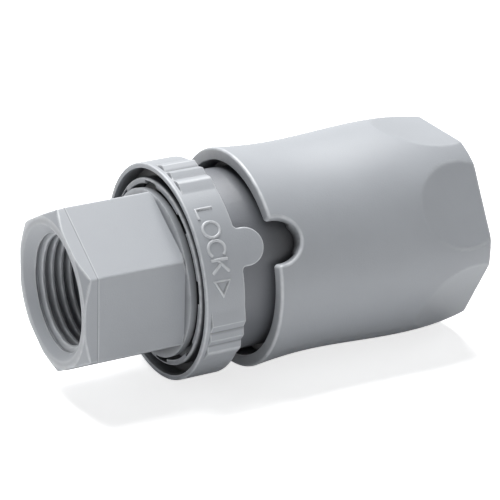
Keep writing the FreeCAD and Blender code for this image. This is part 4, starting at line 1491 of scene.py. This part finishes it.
@dataclass
class Sleeve:
    """The sliding sleeve: waisted grip with two rim notches and six dished flats."""

    angle: float = 27.3
    front: float = 25.37
    back: float = 59.37
    stations: tuple[Station, ...] = (
        Station(25.37, 15.32, -0.13),
        Station(33.77, 14.68, -0.0137),
        Station(50.37, 15.26, -0.0083),
        Station(59.37, 14.3, -0.23),
    )
    notch_width: float = 6.5
    notch_depth: float = 4.05
    notch_mouth_rounding: float = 0.5
    rim_rounding: float = 0.42
    scallop_x: float = 60.67
    scallop_bottom: float = 13.3
    scallop_arc: float = 39.7
    scallops: int = 6
    scallop_blend: float = 0.12
    # painted shade on the inside, fading out towards both ends
    waist_back: float = 45.0
    waist_inside: tuple[float, float] = (13.7, 14.2)
    rear_inside: tuple[float, float] = (12.95, 13.2)
    front_shade: tuple[float, float] = (0.6, 4.0)
    rear_shade: tuple[float, float] = (0.6, 5.0)
    bore_rounding: float = 0.15
    tip_gap: float = 0.005
    column_step: float = 1.0
    row_step: float = 0.8
    fine_row_step: float = 0.25
    fine_rows_from: float = 21.5
    bore_steps: tuple[tuple[float, float], ...] = (
        (28.57, 13.59), (28.87, 12.6), (33.37, 12.6), (33.67, 13.45), (39.42, 13.45), (39.44, 12.9),
        (46.97, 12.9), (46.99, 11.2), (49.37, 11.2), (49.39, 12.0), (59.4, 12.0),
    )

    def line(self, x: float) -> float:
        """Radius of the outside line before the flats, a cubic between stations.

        Args:
            x: Place along the axis, in millimetres.

        Returns:
            The radius in millimetres.
        """
        x = min(max(x, self.front), self.back)
        for one, other in zip(self.stations, self.stations[1:]):
            if x <= other.x:
                length = other.x - one.x
                t = (x - one.x) / length
                return (one.r * (1 + 2 * t) * (1 - t) ** 2 + one.slope * length * t * (1 - t) ** 2
                        + other.r * t * t * (3 - 2 * t) + other.slope * length * t * t * (t - 1))
        return self.stations[-1].r

    def outer(self, x: float, angle: float) -> float:
        """Outside radius with the dished flats.

        Args:
            x: Place along the axis, in millimetres.
            angle: Angle round the axis, in degrees.

        Returns:
            The radius after shaping, in millimetres.
        """
        along = min(abs(x - self.scallop_x), self.scallop_arc)
        depth = self.scallop_bottom + self.scallop_arc - math.sqrt(self.scallop_arc ** 2 - along ** 2)
        pitch = 360.0 / self.scallops
        off = abs((angle - self.angle + pitch / 2) % pitch - pitch / 2)
        return soft_min(self.line(x), depth / math.cos(math.radians(off)), self.scallop_blend)

    def inner(self, x: float, angle: float) -> float:
        """Inside radius, with its lands, reliefs and stop rib.

        Args:
            x: Place along the axis, in millimetres.
            angle: Angle round the axis, in degrees; not used.

        Returns:
            The radius after shaping, in millimetres.
        """
        if x <= self.bore_steps[0][0]:
            return self.bore_steps[0][1]
        for (x_low, r_low), (x_high, r_high) in zip(self.bore_steps, self.bore_steps[1:]):
            if x <= x_high:
                return r_low + (r_high - r_low) * (x - x_low) / (x_high - x_low)
        return self.bore_steps[-1][1]

    def notch_corners(self, middle: float) -> list[PlateCorner]:
        """The four corners of a notch, from its lower angle to its higher one.

        Args:
            middle: Angle of its middle, in degrees.

        Returns:
            The corners in order.
        """
        half = math.degrees(self.notch_width / 2 / self.stations[0].r)
        end = self.notch_width / 2 - self.tip_gap
        deep = self.front + self.notch_depth
        return [
            PlateCorner(self.front, middle - half, self.notch_mouth_rounding),
            PlateCorner(deep, middle - half, end),
            PlateCorner(deep, middle + half, end),
            PlateCorner(self.front, middle + half, self.notch_mouth_rounding),
        ]

    def gap_at(self, x: float, radius: float) -> float:
        """How deep in a gap a place on the sleeve lies, which sets the painted shade on its inside.

        Args:
            x: Place along the axis, in millimetres.
            radius: Distance from the axis, in millimetres.

        Returns:
            The depth, from 0 outside to 1 deep in a gap.
        """
        wall = self.waist_inside if x < self.waist_back else self.rear_inside
        inside = 1.0 - smooth_step(radius, *wall)
        ends = smooth_step(x - self.front, *self.front_shade) * smooth_step(self.back - x, *self.rear_shade)
        return inside * ends

    def build(self, shop: FinishShop) -> bpy.types.Object:
        """Builds and dresses the sleeve.

        Args:
            shop: The shop that makes the materials.

        Returns:
            The dressed piece.
        """
        seam = self.angle - 90.0
        corners = [PlateCorner(self.back, seam), PlateCorner(self.front, seam),
                   *self.notch_corners(self.angle), *self.notch_corners(self.angle + 180.0),
                   PlateCorner(self.front, seam + 360.0), PlateCorner(self.back, seam + 360.0)]
        plate = RolledPlate(corners, seam, self.stations[0].r, self.rim_rounding, self.bore_rounding)
        angles = [seam + self.column_step * step for step in range(1, round(360.0 / self.column_step))]
        fine_from = self.front + self.fine_rows_from
        places = [self.front + self.row_step * step
                  for step in range(1, math.ceil(self.fine_rows_from / self.row_step))]
        places += [fine_from + self.fine_row_step * step
                   for step in range(int((self.back - fine_from) / self.fine_row_step))]
        places += [x for x, _ in self.bore_steps[:-1]]
        shape = plate.shape(self.outer, self.inner, angles, places)
        return finished_piece(shape, "sleeve_moulding", "sleeve",
                              shop.material(SHELL_PLASTIC), self.gap_at)


@dataclass
class TailAdapter:
    """The rear piece: spigot, flange, hexagon and the hose side's female thread."""

    hexagon: Hexagon = Hexagon(51.42, 59.02, 20.0, 0.0, 14.0, 10.6)
    thread: PipeThread = PipeThread(58.04, 8.3, -1)
    blank_radius: float = 11.62
    blank_band: float = 0.01
    rear_face_foot: float = 11.2
    thread_wall: tuple[float, float] = (8.0, 8.4)
    columns: int = 180
    fine_runs: tuple[tuple[float, float, float, float, float], ...] = (
        (57.6, 59.02, 11.6, 11.63, 0.08), (49.74, 58.04, 8.3, 8.35, 0.095),
    )
    outline: list[Corner] = field(default_factory=lambda: [
        Corner(45.22, 6.2, 0.2),
        Corner(45.22, 8.9, 0.2),
        Corner(47.3, 8.9),
        Corner(47.3, 7.91),
        Corner(48.34, 7.91),
        Corner(48.34, 8.9),
        Corner(49.42, 8.9),
        Corner(49.42, 11.9, 0.25),
        Corner(51.42, 11.9, 0.25),
        Corner(51.42, 11.62),
        Corner(57.6, 11.62),
        Corner(59.02, 11.62),
        Corner(59.02, 9.31, 0.16),
        Corner(58.04, 8.33),
        Corner(49.74, 8.33),
        Corner(49.74, 5.6),
        Corner(49.14, 5.6),
        Corner(49.14, 6.2),
    ])

    def radius_at(self, x: float, radius: float, angle: float) -> float:
        """The adapter's radius where the spun blank has one at a place and an angle.

        Args:
            x: Place along the axis, in millimetres.
            radius: Distance from the axis, in millimetres.
            angle: Angle round the axis, in degrees.

        Returns:
            The radius after shaping, in millimetres.
        """
        on_rear_face = x > self.hexagon.back - self.blank_band and radius > self.rear_face_foot
        on_side = x >= self.hexagon.front and abs(radius - self.blank_radius) < self.blank_band
        if on_rear_face or on_side:
            return self.hexagon.radius(x, angle)
        low, high = self.thread_wall
        if self.thread.entry - self.thread.length <= x <= self.thread.entry and low < radius < high:
            return self.thread.radius(x, angle)
        return radius

    def gap_at(self, x: float, radius: float) -> float:
        """How deep in a gap a place on the adapter lies, which sets the painted shade in its thread's
        grooves.

        Args:
            x: Place along the axis, in millimetres.
            radius: Distance from the axis, in millimetres.

        Returns:
            The depth, from 0 outside to 1 deep in a gap.
        """
        in_bore = radius < self.thread.major_radius + self.thread.wall_band
        return self.thread.groove_shade(x, radius) if in_bore else 0.0

    def build(self, shop: FinishShop) -> bpy.types.Object:
        """Builds and dresses the tail adapter.

        Args:
            shop: The shop that makes the materials.

        Returns:
            The dressed piece.
        """
        shape = turned_shape(self.outline, self.columns, self.fine_runs)
        divide_at_angles(shape, self.hexagon.corner_angles())
        reshape(shape, self.radius_at)
        return finished_piece(shape, "tail_moulding", "tail_adapter",
                              shop.material(SHELL_PLASTIC), self.gap_at)


@dataclass
class SleeveSpring:
    """The coil that pushes the sleeve back, which closes up as the sleeve comes forward."""

    seat: float = 35.92
    start: float = 35.94
    end: float = 45.88
    kept_length: float = 0.5
    coil_radius: float = 11.6
    wire: float = 1.0
    turns: int = 4
    steps_per_turn: int = 60
    wire_sides: int = 16

    def build(self, shop: FinishShop) -> bpy.types.Object:
        """Builds and dresses the coil.

        Args:
            shop: The shop that makes the materials.

        Returns:
            The dressed piece.
        """
        steps = self.turns * self.steps_per_turn
        shape = bmesh.new()
        ring = bmesh.ops.create_circle(shape, cap_ends=False, radius=self.wire / 2,
                                       segments=self.wire_sides)["verts"]
        bmesh.ops.translate(shape, verts=ring, vec=(self.start + self.wire / 2, -self.coil_radius, 0.0))
        rise = (self.end - self.start - self.wire) / steps
        bmesh.ops.spin(shape, geom=shape.verts[:] + shape.edges[:], cent=(0, 0, 0), axis=(1, 0, 0),
                       dvec=(rise, 0, 0), angle=math.tau * self.turns, steps=steps, use_merge=False)
        bmesh.ops.holes_fill(shape, edges=[edge for edge in shape.edges if edge.is_boundary], sides=0)
        bmesh.ops.recalc_face_normals(shape, faces=shape.faces[:])
        piece = finished_piece(shape, "sleeve_coil", "sleeve_spring",
                               shop.material(SPRING_STEEL))
        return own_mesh(piece)


@dataclass(frozen=True)
class InnerPieces:
    """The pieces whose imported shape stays, with the finish that each gets."""

    white: tuple[str, ...] = (
        "plug_valve_poppet", "plug_valve_guide", "plug_guide_clip", "guide_bush", "latch_collet",
        "socket_valve_poppet", "socket_valve_guide", "lock_ring_clip", "thrust_washer",
    )
    rubber: tuple[str, ...] = (
        "plug_valve_seal", "nose_seal", "socket_valve_seal", "tail_seal", "lock_drag_ring",
    )
    steel: tuple[str, ...] = ("plug_valve_spring", "socket_valve_spring")
    grey: tuple[str, ...] = ("gland_ring",)

    def dress(self, shop: FinishShop) -> None:
        """Puts each finish on its nodes' own slots.

        Args:
            shop: The shop that makes the materials.
        """
        finishes = ((self.white, INNER_PLASTIC), (self.rubber, SEAL_RUBBER), (self.steel, SPRING_STEEL),
                    (self.grey, SHELL_PLASTIC))
        for nodes, finish in finishes:
            for node in nodes:
                for slot in frame["nodes"][node].material_slots:
                    slot.material = shop.material(finish)
                log.info("%s keeps its shape in %s", node, finish.name)


# Studio


@dataclass(frozen=True)
class Lamp:
    """A soft flat lamp that looks at the coupling's middle."""

    name: str
    place: tuple[float, float, float]
    width: float
    height: float
    power: float


@dataclass(frozen=True)
class Studio:
    """Floor, backdrop, lamps and camera."""

    view_azimuth: float = -28.74
    view_elevation: float = 21.51
    distance: float = 341.2
    shift_right: float = 10.39
    shift_up: float = 2.48
    middle: tuple[float, float, float] = (17.15, 0.0, 0.0)
    lens: float = 181.3
    sensor: float = 36.0
    nearest: float = 0.01
    lamp_target: tuple[float, float, float] = (0.03, 0.0, 0.0)
    floor_size: float = 3.0
    floor_tone: float = 0.86
    floor_roughness: float = 0.9
    floor_lift: float = 0.72
    world_light: float = 0.08
    lamps: tuple[Lamp, ...] = (
        Lamp("top_lamp", (0.03, 0.16, 0.42), 0.34, 0.34, 4.5),
        Lamp("front_lamp", (-0.02, -0.44, 0.03), 0.30, 0.08, 0.42),
        Lamp("left_lamp", (-0.34, -0.32, 0.03), 0.20, 0.08, 0.26),
    )

    def view_axes(self) -> tuple[Vector, Vector, Vector]:
        """The camera's right, up and backward directions.

        Returns:
            The three directions.
        """
        azimuth, elevation = math.radians(self.view_azimuth), math.radians(self.view_elevation)
        backward = Vector((math.sin(azimuth) * math.cos(elevation), -math.cos(azimuth) * math.cos(elevation),
                           math.sin(elevation)))
        right = Vector((math.cos(azimuth), math.sin(azimuth), 0.0))
        return right, backward.cross(right), backward

    def add_camera(self) -> None:
        """Puts the camera where the photograph was taken from."""
        right, up, backward = self.view_axes()
        place = (Vector(self.middle) + backward * self.distance + right * self.shift_right
                 + up * self.shift_up) * MM
        data = bpy.data.cameras.new("camera")
        data.lens = self.lens
        data.sensor_width = self.sensor
        data.clip_start = self.nearest
        camera = bpy.data.objects.new("camera", data)
        bpy.context.scene.collection.objects.link(camera)
        turn = Matrix((right, up, backward)).transposed().to_4x4()
        camera.matrix_world = Matrix.Translation(place) @ turn
        bpy.context.scene.camera = camera

    def add_lamps(self) -> None:
        """Adds the soft lamps."""
        for lamp in self.lamps:
            data = bpy.data.lights.new(lamp.name, "AREA")
            data.energy = lamp.power
            data.shape = "RECTANGLE"
            data.size = lamp.width
            data.size_y = lamp.height
            light = bpy.data.objects.new(lamp.name, data)
            bpy.context.scene.collection.objects.link(light)
            aim = (Vector(self.lamp_target) - Vector(lamp.place)).to_track_quat("-Z", "Y")
            light.matrix_world = Matrix.Translation(lamp.place) @ aim.to_matrix().to_4x4()

    def add_world(self) -> None:
        """An even pale world that looks white to the camera."""
        world = bpy.data.worlds.new("pale room")
        bpy.context.scene.world = world
        world.use_nodes = True
        tree = world.node_tree
        background = tree.nodes["Background"]
        background.inputs["Color"].default_value = (1.0, 1.0, 1.0, 1.0)
        seen = self.seen_rays(tree)
        strength = tree.nodes.new("ShaderNodeMapRange")
        strength.inputs["To Min"].default_value = self.world_light
        strength.inputs["To Max"].default_value = 1.0
        tree.links.new(seen, strength.inputs["Value"])
        tree.links.new(strength.outputs["Result"], background.inputs["Strength"])

    @staticmethod
    def seen_rays(tree: bpy.types.NodeTree) -> bpy.types.NodeSocket:
        """A mask of the rays that see the background, straight or in a gloss.

        Args:
            tree: The tree that gets the nodes.

        Returns:
            The mask's socket.
        """
        path = tree.nodes.new("ShaderNodeLightPath")
        seen = path.outputs["Is Camera Ray"]
        for ray in ("Is Glossy Ray", "Is Transmission Ray"):
            both = tree.nodes.new("ShaderNodeMath")
            both.operation = "MAXIMUM"
            tree.links.new(seen, both.inputs[0])
            tree.links.new(path.outputs[ray], both.inputs[1])
            seen = both.outputs["Value"]
        return seen

    def add_floor(self) -> None:
        """A plain pale floor that the coupling lies on."""
        shape = bmesh.new()
        bmesh.ops.create_grid(shape, x_segments=1, y_segments=1, size=self.floor_size / 2)
        bmesh.ops.translate(shape, verts=shape.verts[:], vec=(0.0, 0.0, CAD_BOX[0][2]))
        mesh = bpy.data.meshes.new("floor")
        shape.to_mesh(mesh)
        shape.free()
        material = bpy.data.materials.new("pale floor")
        material.use_nodes = True
        tree = material.node_tree
        surface = tree.nodes["Principled BSDF"]
        surface.inputs["Base Color"].default_value = (self.floor_tone, self.floor_tone, self.floor_tone, 1.0)
        surface.inputs["Roughness"].default_value = self.floor_roughness
        surface.inputs["Emission Color"].default_value = (1.0, 1.0, 1.0, 1.0)
        lift = tree.nodes.new("ShaderNodeMath")
        lift.operation = "MULTIPLY"
        lift.inputs[1].default_value = self.floor_lift
        straight = tree.nodes.new("ShaderNodeLightPath").outputs["Is Camera Ray"]
        tree.links.new(straight, lift.inputs[0])
        tree.links.new(lift.outputs["Value"], surface.inputs["Emission Strength"])
        mesh.materials.append(material)
        floor = bpy.data.objects.new("floor", mesh)
        bpy.context.scene.collection.objects.link(floor)

    def build(self) -> None:
        """Sets up the whole studio."""
        bpy.context.scene.view_settings.view_transform = "Standard"
        self.add_camera()
        self.add_lamps()
        self.add_world()
        self.add_floor()


def main() -> None:
    """Builds the studio and every piece of the coupling."""
    logging.basicConfig(level=logging.INFO, format="%(message)s")
    Studio().build()
    shop = FinishShop()
    for piece in (PlugBody(), SocketBody(), LockRing(), Sleeve(), TailAdapter(), SleeveSpring()):
        piece.build(shop)
    InnerPieces().dress(shop)


if __name__ == "__main__":
    main()
